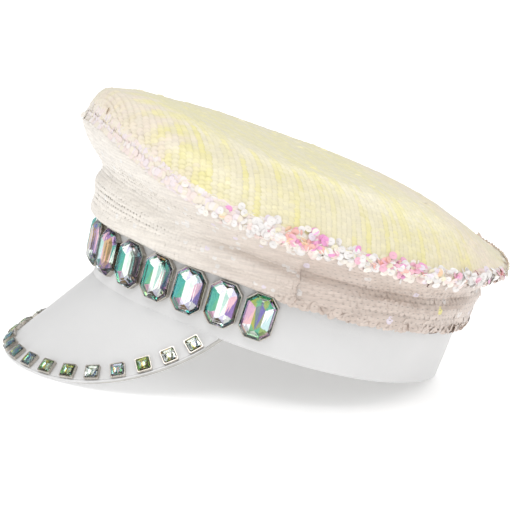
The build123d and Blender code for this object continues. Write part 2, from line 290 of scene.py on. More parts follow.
def visor_normal(x, y):
    h = 0.4
    rise_x = (visor_height(x + h, y) - visor_height(x - h, y)) / (2 * h)
    return unit(np.stack((-rise_x, -visor_tan(x) + 0 * y, np.ones_like(x)), -1))


# ---- Meshes ----------------------------------------------------------------------------------
def new_object(name, data):
    made = bpy.data.objects.new(name, data)
    bpy.context.scene.collection.objects.link(made)
    return made


def signed_volume(points, faces):
    total = 0.0
    for face in faces:
        a = points[face[0]]
        for j in range(1, len(face) - 1):
            total += float(np.dot(a, np.cross(points[face[j]], points[face[j + 1]])))
    return total


def make_piece(name, points, faces, smooth=True, uv=None):
    """A mesh object in metres, its faces turned outwards."""
    points = np.asarray(points, float)
    centre = points.mean(0)
    faces = [tuple(int(i) for i in face) for face in faces]
    if signed_volume(points - centre, faces) < 0:
        faces = [face[::-1] for face in faces]
    mesh = bpy.data.meshes.new(name)
    mesh.from_pydata(points.tolist(), [], faces)
    mesh.polygons.foreach_set("use_smooth", [smooth] * len(mesh.polygons))
    if uv is not None:
        layer = mesh.uv_layers.new(name="cloth")
        corner = np.zeros(len(mesh.loops), int)
        mesh.loops.foreach_get("vertex_index", corner)
        layer.data.foreach_set("uv", np.asarray(uv, np.float32)[corner].ravel())
    mesh.update()
    return new_object(name, mesh)


def arc_uv(grid):
    """Metres along the rows and columns of a grid of points in millimetres."""
    along = np.linalg.norm(np.diff(grid, axis=1), axis=-1).mean(0)
    across = np.linalg.norm(np.diff(grid, axis=0), axis=-1).mean(1)
    u = np.concatenate(((0,), np.cumsum(along)))[None, :] + 0 * grid[..., 0]
    v = np.concatenate(((0,), np.cumsum(across)))[:, None] + 0 * grid[..., 0]
    return np.stack((u, v), -1) * 0.001


def strip_faces(first, second, closed=False):
    """Quads between two rows of point numbers."""
    n = len(first)
    last = n if closed else n - 1
    return [(first[j], first[(j + 1) % n], second[(j + 1) % n], second[j]) for j in range(last)]


def shell(name, outer, inner, closed, capped=False):
    """A closed thin shell between two grids of points; capped closes its last row to a point."""
    rows, cols = outer.shape[:2]
    number = np.arange(rows * cols).reshape(rows, cols)
    other = number + rows * cols
    faces = []
    for i in range(rows - 1):
        faces += strip_faces(number[i], number[i + 1], closed)
        faces += strip_faces(other[i + 1], other[i], closed)
    faces += strip_faces(other[0], number[0], closed)
    points = np.concatenate((outer.reshape(-1, 3), inner.reshape(-1, 3)))
    uv = np.concatenate((arc_uv(outer).reshape(-1, 2),) * 2)
    if capped:
        tips = np.stack((outer[-1].mean(0), inner[-1].mean(0)))
        top = len(points)
        points = np.concatenate((points, tips))
        uv = np.concatenate((uv, np.repeat(uv[number[-1]].mean(0)[None], 2, 0)))
        for j in range(cols):
            k = (j + 1) % cols
            faces.append((number[-1][j], number[-1][k], top))
            faces.append((other[-1][k], other[-1][j], top + 1))
    else:
        faces += strip_faces(number[-1], other[-1], closed)
    if not closed:
        faces += strip_faces(number[:, 0], other[:, 0])
        faces += strip_faces(other[:, -1], number[:, -1])
    return make_piece(name, set_down(points), faces, uv=uv)


def swept(name, section, turns, drift=None):
    """A closed loop of (inset, height) pairs swept round the band."""
    section = np.asarray(section, float)
    t = turns[None, :]
    inset, height = section[:, :1] + 0 * t, section[:, 1:] + 0 * t
    if drift is not None:
        inset = inset + drift(t, height)
    grid = band_point(t, height, inset)
    rows, cols = grid.shape[:2]
    number = np.arange(rows * cols).reshape(rows, cols)
    faces = []
    for i in range(rows):
        faces += strip_faces(number[i], number[(i + 1) % rows], True)
    return make_piece(name, set_down(grid.reshape(-1, 3)), faces,
                      uv=arc_uv(grid).reshape(-1, 2))


def seats(name, point, normal, along, tint, tilt=None, size=None, roll=None, hole=1.0):
    """Loose points, each with the frame, colour, tilt and size of what is set on it."""
    point = np.asarray(point, float).reshape(-1, 3)
    n = len(point)
    mesh = bpy.data.meshes.new(name)
    mesh.from_pydata(set_down(point).tolist(), [], [])
    for key, value in (("seat_normal", turned(normal)), ("seat_along", turned(along))):
        layer = mesh.attributes.new(key, "FLOAT_VECTOR", "POINT")
        layer.data.foreach_set("vector", np.asarray(value, np.float32).reshape(-1))
    for key, value in (("seat_tilt", tilt), ("seat_roll", roll), ("seat_size", size)):
        layer = mesh.attributes.new(key, "FLOAT", "POINT")
        plain = 1.0 if key == "seat_size" else 0.0
        value = np.full(n, plain) if value is None else np.broadcast_to(value, (n,))
        layer.data.foreach_set("value", np.asarray(value, np.float32))
    layer = mesh.attributes.new("seat_tint", "FLOAT_COLOR", "POINT")
    colour = np.ones((n, 4), np.float32)
    colour[:, :3] = np.broadcast_to(tint, (n, 3))
    colour[:, 3] = hole
    layer.data.foreach_set("color", colour.ravel())
    return new_object(name, mesh)


# ---- Node trees ------------------------------------------------------------------------------
def connect(tree, node, inputs):
    """Links a node's inputs to sockets, or sets them to values."""
    for key, value in inputs.items():
        if isinstance(value, bpy.types.NodeSocket):
            tree.links.new(value, node.inputs[key])
        else:
            node.inputs[key].default_value = value
    return node


def add(tree, kind, inputs=None, **settings):
    """A node with its settings made and its inputs set or linked."""
    made = tree.nodes.new(kind)
    for key, value in settings.items():
        setattr(made, key, value)
    return connect(tree, made, inputs or {})


def maths(tree, operation, *values):
    return add(tree, "ShaderNodeMath", dict(enumerate(values)), operation=operation).outputs[0]


def noise(tree, place, scale, detail=2.0, **more):
    inputs = {"Vector": place, "Scale": scale, "Detail": detail, **more}
    return add(tree, "ShaderNodeTexNoise", inputs).outputs[0]


def ranged(tree, value, low, high, first, last):
    """A value that goes from first to last while the given one goes from low to high."""
    inputs = {0: value, 1: low, 2: high, 3: first, 4: last}
    return add(tree, "ShaderNodeMapRange", inputs).outputs[0]


def mixed(tree, share, first, second):
    return add(tree, "ShaderNodeMix", {0: share, 6: first, 7: second},
               data_type="RGBA").outputs[2]


def new_tree(name, kind, inputs, outputs):
    """An empty node group with its named inputs and outputs."""
    tree = bpy.data.node_groups.new(name, kind)
    for label, socket, *default in inputs:
        made = tree.interface.new_socket(label, in_out="INPUT", socket_type="NodeSocket" + socket)
        if default:
            made.default_value = default[0]
    for label, socket in outputs:
        tree.interface.new_socket(label, in_out="OUTPUT", socket_type="NodeSocket" + socket)
    given, out = tree.nodes.new("NodeGroupInput"), tree.nodes.new("NodeGroupOutput")
    return tree, given.outputs, out.inputs


def sequin(tree, given):
    """A thin round sequin that keeps the place of its points for its thread hole."""
    radius = maths(tree, "MULTIPLY", given["Diameter"], 0.5)
    disc = add(tree, "GeometryNodeMeshCone",
               {"Vertices": given["Sides"], "Radius Top": 0.0, "Radius Bottom": radius,
                "Depth": given["Thickness"]}, fill_type="TRIANGLE_FAN")
    spot = add(tree, "GeometryNodeInputPosition")
    return add(tree, "GeometryNodeStoreNamedAttribute",
               {"Geometry": disc.outputs["Mesh"], "Name": "sequin_spot",
                "Value": spot.outputs[0]}, data_type="FLOAT_VECTOR", domain="POINT").outputs[0]


def stitch(tree, given):
    """A short plump thread stitch."""
    ball = add(tree, "GeometryNodeMeshUVSphere", {"Segments": 6, "Rings": 5, "Radius": 0.5})
    size = add(tree, "ShaderNodeCombineXYZ",
               {0: given["Length"], 1: given["Thread"], 2: given["Thread"]})
    return add(tree, "GeometryNodeTransform",
               {"Geometry": ball.outputs["Mesh"], "Scale": size.outputs[0]}).outputs[0]


def stone(tree, given):
    """A cut stone: glass in front and foiled facets behind."""
    return add(tree, "GeometryNodeObjectInfo", {"Object": given["Stone"]}).outputs["Geometry"]


# Each kind of row: the shape that it sets on its seats, its own inputs and its shading.
ROWS = {
    "sequin_rows": (sequin, (("Diameter", "Float", 0.005), ("Thickness", "Float", 0.00022),
                             ("Sides", "Int", 10), ("Spread", "Float", 0.1)), False),
    "stitch_rows": (stitch, (("Length", "Float", 0.0026), ("Thread", "Float", 0.0005),
                             ("Spread", "Float", 0.03)), True),
    "stone_rows": (stone, (("Stone", "Object"), ("Spread", "Float", 0.0),
                           ("Foil", "Material")), False),
}


def row_tree(name):
    """Sets a shape on every seat, turned by the seat's frame, and makes it one mesh."""
    shape, own_inputs, smooth = ROWS[name]
    tree, given, out = new_tree(
        name, "GeometryNodeTree",
        (("Seats", "Geometry"), *own_inputs, ("Seed", "Int", 1), ("Material", "Material")),
        (("Rows", "Geometry"),))

    def named(key, kind):
        return add(tree, "GeometryNodeInputNamedAttribute", {"Name": key},
                   data_type=kind).outputs["Attribute"]

    shaded = add(tree, "GeometryNodeSetShadeSmooth",
                 {"Geometry": shape(tree, given), "Shade Smooth": smooth})
    up = add(tree, "FunctionNodeAlignRotationToVector",
             {"Vector": named("seat_normal", "FLOAT_VECTOR")}, axis="Z")
    turn = add(tree, "FunctionNodeAlignRotationToVector",
               {"Rotation": up.outputs[0], "Vector": named("seat_along", "FLOAT_VECTOR")},
               axis="X", pivot_axis="Z").outputs[0]
    for number, (axis, key) in enumerate((((1, 0, 0), "seat_tilt"), ((0, 1, 0), "seat_roll"))):
        low = maths(tree, "MULTIPLY", given["Spread"], -1.0)
        seed = maths(tree, "ADD", given["Seed"], float(number))
        jitter = add(tree, "FunctionNodeRandomValue", {2: low, 3: given["Spread"], "Seed": seed},
                     data_type="FLOAT").outputs[1]
        angle = maths(tree, "ADD", jitter, named(key, "FLOAT"))
        bend = add(tree, "FunctionNodeAxisAngleToRotation", {"Axis": axis, "Angle": angle})
        turn = add(tree, "FunctionNodeRotateRotation", {0: turn, 1: bend.outputs[0]},
                   rotation_space="LOCAL").outputs[0]
    placed = add(tree, "GeometryNodeInstanceOnPoints",
                 {"Points": given["Seats"], "Instance": shaded.outputs[0], "Rotation": turn,
                  "Scale": named("seat_size", "FLOAT")})
    flow = add(tree, "GeometryNodeRealizeInstances", {0: placed.outputs[0]}).outputs[0]
    for key in ("seat_normal", "seat_along", "seat_tilt", "seat_roll", "seat_size"):
        flow = add(tree, "GeometryNodeRemoveAttribute", {"Geometry": flow, "Name": key}).outputs[0]
    flow = add(tree, "GeometryNodeSetMaterial",
               {"Geometry": flow, "Material": given["Material"]}).outputs[0]
    if "Foil" in given:
        flow = add(tree, "GeometryNodeSetMaterial",
                   {"Geometry": flow, "Selection": named("is_foil", "BOOLEAN"),
                    "Material": given["Foil"]}).outputs[0]
    tree.links.new(flow, out[0])
    return tree


MADE = {}


def made_once(name, maker):
    """A tree or a material by name, made the first time that it is asked for."""
    if name not in MADE:
        MADE[name] = maker(name)
    return MADE[name]


def grow(piece, name, **values):
    """Runs a row's tree on a piece's seats and leaves its plain mesh."""
    tree = made_once(name, row_tree)
    modifier = piece.modifiers.new(name, "NODES")
    modifier.node_group = tree
    for item in tree.interface.items_tree:
        key = item.name.lower()
        if item.item_type == "SOCKET" and item.in_out == "INPUT" and key in values:
            modifier[item.identifier] = values[key]
    piece.update_tag()
    bpy.context.view_layer.update()
    graph = bpy.context.evaluated_depsgraph_get()
    mesh = bpy.data.meshes.new_from_object(piece.evaluated_get(graph), depsgraph=graph)
    mesh.name = piece.name
    piece.modifiers.clear()
    piece.data = mesh
    if not mesh.polygons:
        raise RuntimeError(f"{piece.name} has no faces")
    return piece


# ---- Shared material effects -----------------------------------------------------------------
def weave(tree, given):
    """A plain weave over metres of cloth: height of the threads and a mask of the gaps."""
    scaled = add(tree, "ShaderNodeVectorMath",
                 {0: given["Vector"], "Scale": given["Threads per Metre"]},
                 operation="SCALE").outputs[0]
    slubs = noise(tree, scaled, 0.11, 3.0)
    parts = add(tree, "ShaderNodeSeparateXYZ", {0: scaled}).outputs
    ridges = []
    for axis in (0, 1):
        shifted = maths(tree, "MULTIPLY_ADD", slubs, given["Slub"], parts[axis])
        wave = maths(tree, "SINE", maths(tree, "MULTIPLY", shifted, math.pi))
        ridges.append(maths(tree, "ABSOLUTE", wave))
    over = maths(tree, "MAXIMUM", *ridges)
    height = maths(tree, "ADD", over, maths(tree, "MULTIPLY", *ridges))
    return height, maths(tree, "SUBTRACT", 1.0, over)


def mottle(tree, given):
    """Slow uneven colour and its mask."""
    slow = noise(tree, given["Vector"], given["Scale"], 4.0, Roughness=0.6)
    mask = ranged(tree, slow, 0.32, 0.68, 0.0, 1.0)
    return mixed(tree, mask, given["Dark"], given["Light"]), mask


def grain(tree, given):
    """The shallow pebbled grain of a coated fabric, and its slow creases."""
    cells = add(tree, "ShaderNodeTexVoronoi",
                {"Vector": given["Vector"], "Scale": given["Scale"]}, feature="SMOOTH_F1")
    fine = noise(tree, given["Vector"], given["Scale"])
    height = maths(tree, "MULTIPLY_ADD", fine, 0.4, cells.outputs[0])
    return height, noise(tree, given["Vector"], 22.0, 3.0)


# Each shared effect: its maker, its inputs and its outputs.
EFFECTS = {
    "fine_weave": (weave, (("Vector", "Vector"), ("Threads per Metre", "Float", 1600.0),
                           ("Slub", "Float", 0.3)), (("Height", "Float"), ("Gaps", "Float"))),
    "soft_mottle": (mottle, (("Vector", "Vector"), ("Scale", "Float", 18.0),
                             ("Light", "Color", (1, 1, 1, 1)), ("Dark", "Color", (0, 0, 0, 1))),
                    (("Color", "Color"), ("Mask", "Float"))),
    "coated_grain": (grain, (("Vector", "Vector"), ("Scale", "Float", 900.0)),
                     (("Height", "Float"), ("Creases", "Float"))),
}


def effect_tree(name):
    maker, inputs, outputs = EFFECTS[name]
    tree, given, out = new_tree(name, "ShaderNodeTree", inputs, outputs)
    for made, socket in zip(maker(tree, given), out):
        tree.links.new(made, socket)
    return tree


def effect(tree, name, **inputs):
    """The outputs of a shared effect, placed in a material with its own values."""
    inputs = {key.replace("_", " "): value for key, value in inputs.items()}
    return add(tree, "ShaderNodeGroup", inputs, node_tree=made_once(name, effect_tree)).outputs


# ---- Materials -------------------------------------------------------------------------------
def bump(tree, shader, height, strength, distance):
    made = add(tree, "ShaderNodeBump", {"Height": height, "Strength": strength,
                                        "Distance": distance})
    tree.links.new(made.outputs[0], shader.inputs["Normal"])


def rgba(colour, times=1.0):
    return tuple(min(1.0, c * times) for c in tuple(colour)[:3]) + (1.0,)


def sequin_finish(tree, shader, place, roughness, hole, streak, line, grazing_shade=0.0):
    """Pearly sequins that take their colour from their seat, with a small thread hole, painted
    shade on two opposite edges where the rows meet, and a greyish-green painted shade where they
    turn edge-on.
    """
    tint = add(tree, "ShaderNodeAttribute", attribute_name="seat_tint").outputs
    spot = add(tree, "ShaderNodeAttribute", attribute_name="sequin_spot").outputs
    parts = add(tree, "ShaderNodeSeparateXYZ", {0: spot["Vector"]}).outputs
    flat = add(tree, "ShaderNodeCombineXYZ", {0: parts[0], 1: parts[1]}).outputs[0]
    slit = add(tree, "ShaderNodeVectorMath", {0: flat, 1: (0.55, 1.5, 1.0)},
               operation="MULTIPLY").outputs[0]
    away = add(tree, "ShaderNodeVectorMath", {0: slit}, operation="LENGTH").outputs["Value"]
    seen = maths(tree, "MULTIPLY", ranged(tree, away, 0.0002, 0.0006, hole, 0.0), tint["Alpha"])
    shade = mixed(tree, seen, tint["Color"], (0.36, 0.31, 0.27, 1))
    streaks = add(tree, "ShaderNodeMapping", {"Vector": place, "Rotation": (TILT, 0, 0),
                                              "Scale": (70.0, 70.0, 1000.0)}).outputs[0]
    drawn = ranged(tree, noise(tree, streaks, 1.0), 0.35, 0.65, 1.0 - streak, 1.0)
    # Painted shade between rows: the colour darkens near two opposite edges of each sequin, by the
    # share given in line.
    aside = maths(tree, "ABSOLUTE", parts[0])
    dim = maths(tree, "MULTIPLY", drawn, ranged(tree, aside, 0.0015, 0.0023, 1.0, 1.0 - line))
    dimmed = add(tree, "ShaderNodeVectorMath", {0: shade, "Scale": dim}, operation="SCALE")
    # Painted shade: the base colour turns towards a dull greyish-green as a sequin turns edge-on to
    # the view.
    facing = add(tree, "ShaderNodeLayerWeight", {"Blend": 0.5}).outputs["Facing"]
    grazing_shade_mask = ranged(tree, facing, 0.66, 0.95, 0.0, grazing_shade)
    ripple = noise(tree, place, 420.0)
    connect(tree, shader, {
        "Base Color": mixed(tree, grazing_shade_mask, dimmed.outputs[0], (0.70, 0.67, 0.51, 1)),
        "Roughness": ranged(tree, ripple, 0.3, 0.7, roughness * 0.8, roughness * 1.3),
        "Coat Weight": 0.2, "Coat Roughness": 0.2, "Specular IOR Level": 0.6})
    bump(tree, shader, ripple, 0.12, 0.0002)


def cloth_finish(tree, shader, place, light, dark, threads, roughness=0.8, sheen=0.2, gaps=0.35,
                 strength=0.5):
    """Woven cloth whose threads follow the piece's own metres of cloth."""
    flat = add(tree, "ShaderNodeUVMap", uv_map="cloth").outputs[0]
    woven = effect(tree, "fine_weave", Vector=flat, Threads_per_Metre=threads)
    patchy = effect(tree, "soft_mottle", Vector=place, Scale=26.0, Light=light, Dark=dark)
    shade = maths(tree, "MULTIPLY", woven["Gaps"], gaps)
    connect(tree, shader, {
        "Base Color": mixed(tree, shade, patchy["Color"], rgba(dark, 0.55)),
        "Roughness": roughness, "Sheen Weight": sheen, "Sheen Roughness": 0.4,
        "Specular IOR Level": 0.35})
    bump(tree, shader, woven["Height"], strength, 0.0003)


def coated_finish(tree, shader, place, colour):
    """Smooth coated fabric with a fine pebbled grain and faint creases."""
    pebbled = effect(tree, "coated_grain", Vector=place, Scale=1100.0)
    patchy = effect(tree, "soft_mottle", Vector=place, Scale=14.0, Light=rgba(colour),
                    Dark=rgba(colour, 0.94))
    connect(tree, shader, {
        "Base Color": patchy["Color"],
        "Roughness": ranged(tree, pebbled["Creases"], 0.3, 0.7, 0.40, 0.52),
        "Specular IOR Level": 0.45, "Coat Weight": 0.08, "Coat Roughness": 0.3})
    height = maths(tree, "MULTIPLY_ADD", pebbled["Creases"], 3.0, pebbled["Height"])
    bump(tree, shader, height, 0.10, 0.0004)


# The foil's colours in the order in which its coating turns from one to the next; the near-black
# stop at 0.80 is a painted dark reflection, the others are the coating's own colours.
FOIL_STOPS = (
    (0.0, (0.95, 0.97, 0.93)), (0.13, (0.86, 0.95, 0.82)), (0.21, (0.03, 0.33, 0.34)),
    (0.30, (0.10, 0.40, 0.26)), (0.40, (0.42, 0.42, 0.05)), (0.48, (0.05, 0.13, 0.36)),
    (0.56, (0.30, 0.16, 0.42)), (0.64, (0.78, 0.48, 0.56)), (0.72, (0.58, 0.36, 0.12)),
    (0.80, (0.04, 0.03, 0.03)), (0.88, (0.50, 0.76, 0.70)), (0.94, (0.66, 0.60, 0.80)),
    (1.0, (0.95, 0.97, 0.93)))


def foil_finish(tree, shader, place):
    """Mirror facets behind the glass, each in its own colour of an iridescent coating, with
    near-black facets as painted dark reflections.
    """
    tone = add(tree, "ShaderNodeAttribute", attribute_name="facet_tone").outputs["Fac"]
    shift = add(tree, "ShaderNodeAttribute", attribute_name="seat_tint").outputs["Fac"]
    drift = noise(tree, place, 260.0, 1.0)
    place_on = maths(tree, "MULTIPLY_ADD", drift, 0.05, maths(tree, "ADD", shift, tone))
    ramp = add(tree, "ShaderNodeValToRGB", {0: maths(tree, "FRACT", place_on)})
    elements = ramp.color_ramp.elements
    while len(elements) < len(FOIL_STOPS):
        elements.new(0.5)
    for element, (at, colour) in zip(elements, FOIL_STOPS):
        element.position = at
        element.color = rgba(colour)
    connect(tree, shader, {"Base Color": ramp.outputs[0], "Metallic": 1.0,
                           "Roughness": ranged(tree, drift, 0.0, 1.0, 0.03, 0.10)})


def glass_finish(tree, shader, place):
    """Clear cut glass with faint streaks in its tint."""
    patchy = effect(tree, "soft_mottle", Vector=place, Scale=60.0, Light=(1, 1, 1, 1),
                    Dark=(0.93, 0.97, 0.96, 1))
    connect(tree, shader, {"Base Color": patchy["Color"], "Transmission Weight": 1.0,
                           "Roughness": 0.0, "IOR": 1.52})


def metal_finish(tree, shader, place):
    """Thin pressed metal with a fine polish and duller patches."""
    patchy = effect(tree, "soft_mottle", Vector=place, Scale=220.0, Light=(0.66, 0.62, 0.56, 1),
                    Dark=(0.38, 0.35, 0.31, 1))
    connect(tree, shader, {"Base Color": patchy["Color"], "Metallic": 1.0,
                           "Roughness": ranged(tree, patchy["Mask"], 0.0, 1.0, 0.16, 0.34)})


def card_finish(tree, shader, place, light, dark):
    """Pressed card or spun thread with short fibres."""
    patchy = effect(tree, "soft_mottle", Vector=place, Scale=90.0, Light=rgba(light),
                    Dark=rgba(dark))
    fibre = noise(tree, place, 1400.0, 3.0)
    connect(tree, shader, {"Base Color": patchy["Color"], "Specular IOR Level": 0.25,
                           "Roughness": ranged(tree, fibre, 0.0, 1.0, 0.7, 0.95)})
    bump(tree, shader, fibre, 0.3, 0.0002)


def floor_finish(tree, shader, place, colour):
    """A pale matt floor that is clear from below."""
    patchy = effect(tree, "soft_mottle", Vector=place, Scale=3.0, Light=rgba(colour),
                    Dark=rgba(colour, 0.985))
    connect(tree, shader, {"Base Color": patchy["Color"], "Specular IOR Level": 0.2,
                           "Emission Strength": 0.38,
                           "Roughness": ranged(tree, patchy["Mask"], 0.0, 1.0, 0.75, 0.9)})
    side = add(tree, "ShaderNodeNewGeometry").outputs["Backfacing"]
    clear = add(tree, "ShaderNodeBsdfTransparent").outputs[0]
    either = add(tree, "ShaderNodeMixShader", {0: side, 1: shader.outputs[0], 2: clear})
    out = next(n for n in tree.nodes if n.type == "OUTPUT_MATERIAL")
    tree.links.new(either.outputs[0], out.inputs["Surface"])


def finish(name):
    """A finish by name: its maker and its values."""
    tone = bpy.context.scene.cap_colours
    return {
        "top_sequins": (sequin_finish, 0.42, 0.06, 0.03, 0.12, 0.7),
        "side_sequins": (sequin_finish, 0.38, 0.85, 0.13, 0.0),
        "loose_sequins": (sequin_finish, 0.16, 0.35, 0.0, 0.0),
        "backing_cloth": (cloth_finish, rgba(tone.backing), rgba(tone.backing, 0.8), 900.0),
        "lining_satin": (cloth_finish, rgba(tone.lining), rgba(tone.lining, 0.88), 2400.0,
                         0.45, 0.3, 0.15, 0.25),
        "wadding": (cloth_finish, (0.84, 0.83, 0.80, 1), (0.74, 0.73, 0.70, 1), 500.0, 0.95),
        "sweatband_tape": (cloth_finish, rgba(tone.sweatband), rgba(tone.sweatband, 0.82),
                           1100.0, 0.7, 0.2, 0.4, 0.8),
        "coated_white": (coated_finish, tone.coated),
        "thread": (card_finish, (0.88, 0.87, 0.84), (0.74, 0.73, 0.70)),
        "stiffener_card": (card_finish, (0.70, 0.68, 0.62), (0.58, 0.56, 0.50)),
        "visor_board": (card_finish, (0.62, 0.61, 0.58), (0.50, 0.49, 0.46)),
        "stone_glass": (glass_finish,),
        "stone_foil": (foil_finish,),
        "cup_metal": (metal_finish,),
        "studio_floor": (floor_finish, tone.floor),
    }[name]


def new_material(name):
    made = bpy.data.materials.new(name)
    made.use_nodes = True
    tree = made.node_tree
    shader = next(n for n in tree.nodes if n.type == "BSDF_PRINCIPLED")
    maker, *values = finish(name)
    maker(tree, shader, add(tree, "ShaderNodeTexCoord").outputs["Object"], *values)
    return made


def material(name):
    return made_once(name + " finish", lambda _: new_material(name))


def dress(piece, name, slot, *nodes):
    """Gives a piece its material and its body, and hides what it stands for; slot is not used."""
    if name is not None:
        paint(piece, name)
    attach(piece, "root")
    if nodes:
        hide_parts(*nodes)
    return piece


def paint(piece, name):
    piece.data.materials.clear()
    piece.data.materials.append(material(name))


def dress_nodes(name, *nodes):
    """Gives CAD nodes a detailed material."""
    for node in nodes:
        paint(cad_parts[node], name)


# ---- Sequin colours ---------------------------------------------------------------------------
def pick(rng, chances, palette, n):
    """n colours of a palette by their chances."""
    chances = np.asarray(chances, float)
    which = rng.choice(len(palette), n, p=chances / chances.sum())
    return np.array([tuple(c) for c in palette])[which]


def top_tints(rng, x, y, row):
    """Colours of the top's sequins: yellow rows, paler and greyish-green to the far side as painted
    shade, and pink at the front.
    """
    tone = bpy.context.scene.cap_colours
    names = (tone.yellow, tone.cream, tone.sage, tone.blush, tone.pearl, tone.orange)
    palette = np.array([tuple(c) for c in names])
    start = np.sin(np.arange(400) * 12.9898) * 43758.5453
    start = (start - np.floor(start))[row.astype(int)]
    streak = 0.5 + 0.5 * np.sin(2 * math.pi * start + x / 17 + 2 * np.sin(x / 31 + 9 * start))
    patch = 0.5 + 0.5 * np.sin(0.043 * x + 1.7 * np.sin(0.031 * y + 0.6)) * np.cos(0.05 * y + 0.9)
    # Painted shade: far rises towards the top's far (-X) side, where the top turns away, and brings
    # in the greyish-green sage.
    far = fade(-x, 70, 40, 0, 0.4)
    front = fade(-y - 100 + 10 * np.sin(0.35 * x), 0, 22)
    back = fade(y, 25, 60) * (1.2 - patch)
    weight = np.stack((
        (0.10 + 0.75 * patch + 1.5 * streak ** 2) * (1 - 0.8 * far) * (1 - 0.85 * front),
        (0.55 + 0.9 * (1 - streak)) * (1 - 0.7 * far), 0.03 + 3.0 * far,
        0.06 + 1.0 * front + 2.6 * back, 0.10 + 0.35 * front, 0.02 + 0.9 * back * streak), -1)
    weight = weight * rng.uniform(0.55, 1.45, weight.shape)
    tint = (weight / weight.sum(-1, keepdims=True)) @ palette
    return tint * rng.uniform(0.95, 1.03, (len(x), 1))


def side_tints(rng, t):
    """Colours of the side's sequins: cream in front, beige behind, a few odd ones and some lifted
    towards white as painted glints.
    """
    tone = bpy.context.scene.cap_colours
    cream, beige = np.array(tone.side_cream), np.array(tone.side_beige)
    away = from_front(t)
    back = fade(away, 0.5, 0.85)[:, None]
    tint = (cream * (1 - back) + beige * back) * (1 + 0.2 * np.clip(away - 2.2, 0, 1)[:, None])
    tint = tint * rng.uniform(0.97, 1.02, (len(t), 1))
    odd = rng.uniform(size=len(t)) - 0.02 * (1 - back[:, 0])
    tint[odd > 0.993] = tuple(tone.yellow)
    tint[(odd > 0.984) & (odd < 0.993)] = tuple(tone.lilac)
    # Painted highlights: some sequins, more of them on the sides of the front panel, are lifted
    # towards white as glints.
    glint = (odd > np.where((away > 0.6) & (away < 1.3), 0.93, 0.97)) & (odd < 0.984)
    tint[glint] = 0.5 * tint[glint] + 0.48
    return np.minimum(tint, 1.0)


# ---- Properties -------------------------------------------------------------------------------
def length_property(name, description, default, low, high):
    return bpy.props.FloatProperty(name=name, description=description, default=default,
                                   min=low, max=high, unit="LENGTH", precision=5)


def angle_property(name, description, degrees):
    return bpy.props.FloatProperty(name=name, description=description,
                                   default=math.radians(degrees), min=0.0, max=math.pi / 2,
                                   subtype="ANGLE", unit="ROTATION")


def colour_property(name, description, default):
    return bpy.props.FloatVectorProperty(name=name, description=description, default=default,
                                         size=3, min=0.0, max=1.0, subtype="COLOR")


class CapSizes(bpy.types.PropertyGroup):
    """Sizes of the cap's looks"""

    sequin: length_property("Sequin", "Diameter of one sequin", 0.005, 0.002, 0.012)
    sequin_thick: length_property("Sequin Thickness", "Thickness at its middle", 0.00022,
                                  0.0001, 0.001)
    row_pitch: length_property("Row Pitch", "Between rows of sequins on the top", 0.0029,
                               0.0015, 0.01)
    along_pitch: length_property("Pitch Along", "Between sequins of one row on the top", 0.0025,
                                 0.0015, 0.01)
    side_row_pitch: length_property("Side Row Pitch", "Between rows on the side", 0.0026,
                                    0.0015, 0.01)
    side_pitch: length_property("Side Pitch", "Between sequins of one side row", 0.0041,
                                0.002, 0.01)
    shingle: angle_property("Shingle", "Tilt of a sequin on the one below it", 7.0)
    spread: angle_property("Spread", "How far the tilt differs between sequins", 3.0)
    loose: bpy.props.IntProperty(name="Loose Sequins", description="Flipped ones on the rim",
                                 default=780, min=0, max=3000)
    ragged: bpy.props.IntProperty(name="Ragged Sequins", description="Ones on the lower edge",
                                  default=420, min=0, max=3000)
    cloth: length_property("Cloth", "Thickness of the crown's cloth", 0.0009, 0.0003, 0.003)
    stitch: length_property("Stitch", "Length of one stitch", 0.0026, 0.001, 0.006)


class CapColours(bpy.types.PropertyGroup):
    """Colours of the cap's looks"""

    yellow: colour_property("Yellow", "Main colour of the top's sequins", (0.89, 0.82, 0.31))
    cream: colour_property("Cream", "Paler sequins between them", (0.87, 0.81, 0.60))
    sage: colour_property("Sage", "Sequins on the top's far side", (0.66, 0.67, 0.45))
    blush: colour_property("Blush", "Sequins at the front and back", (0.90, 0.74, 0.69))
    pearl: colour_property("Pearl", "Nearly white sequins", (0.90, 0.87, 0.85))
    lilac: colour_property("Lilac", "Odd sequins on the side", (0.86, 0.77, 0.85))
    pink: colour_property("Pink", "Flipped sequins on the rim", (0.93, 0.52, 0.64))
    magenta: colour_property("Magenta", "Flipped sequins on the rim", (0.89, 0.38, 0.68))
    salmon: colour_property("Salmon", "Flipped sequins on the rim", (0.92, 0.52, 0.46))
    orange: colour_property("Orange", "Flipped sequins on the rim", (0.94, 0.66, 0.44))
    side_cream: colour_property("Side Cream", "Front of the side", (0.94, 0.88, 0.80))
    side_beige: colour_property("Side Beige", "Back of the side", (0.71, 0.60, 0.53))
    backing: colour_property("Backing", "Cloth behind the sequins", (0.84, 0.79, 0.68))
    lining: colour_property("Lining", "Satin lining", (0.86, 0.85, 0.83))
    sweatband: colour_property("Sweatband", "Tape inside the band", (0.82, 0.81, 0.78))
    coated: colour_property("Coated Fabric", "Band and visor", (0.755, 0.755, 0.755))
    floor: colour_property("Floor", "Studio floor", (0.92, 0.92, 0.92))


# ---- Operators --------------------------------------------------------------------------------
def whole_turns(n):
    return np.arange(n) * 2 * math.pi / n


def facing_up(normal):
    return normal * np.where(normal[:, 2:] < 0, -1, 1)


def crown_top_sheet(name, depth, thick, rings, columns, swell=1.0):
    t = whole_turns(columns)[None, :]
    u = np.linspace(1.0, 0.06, rings)[:, None]
    share = 1 - (1 - u) ** 2
    outer, inner = (dome_point(t, share, d, swell) for d in (depth, depth + thick))
    return shell(name, outer, inner, closed=True, capped=True)


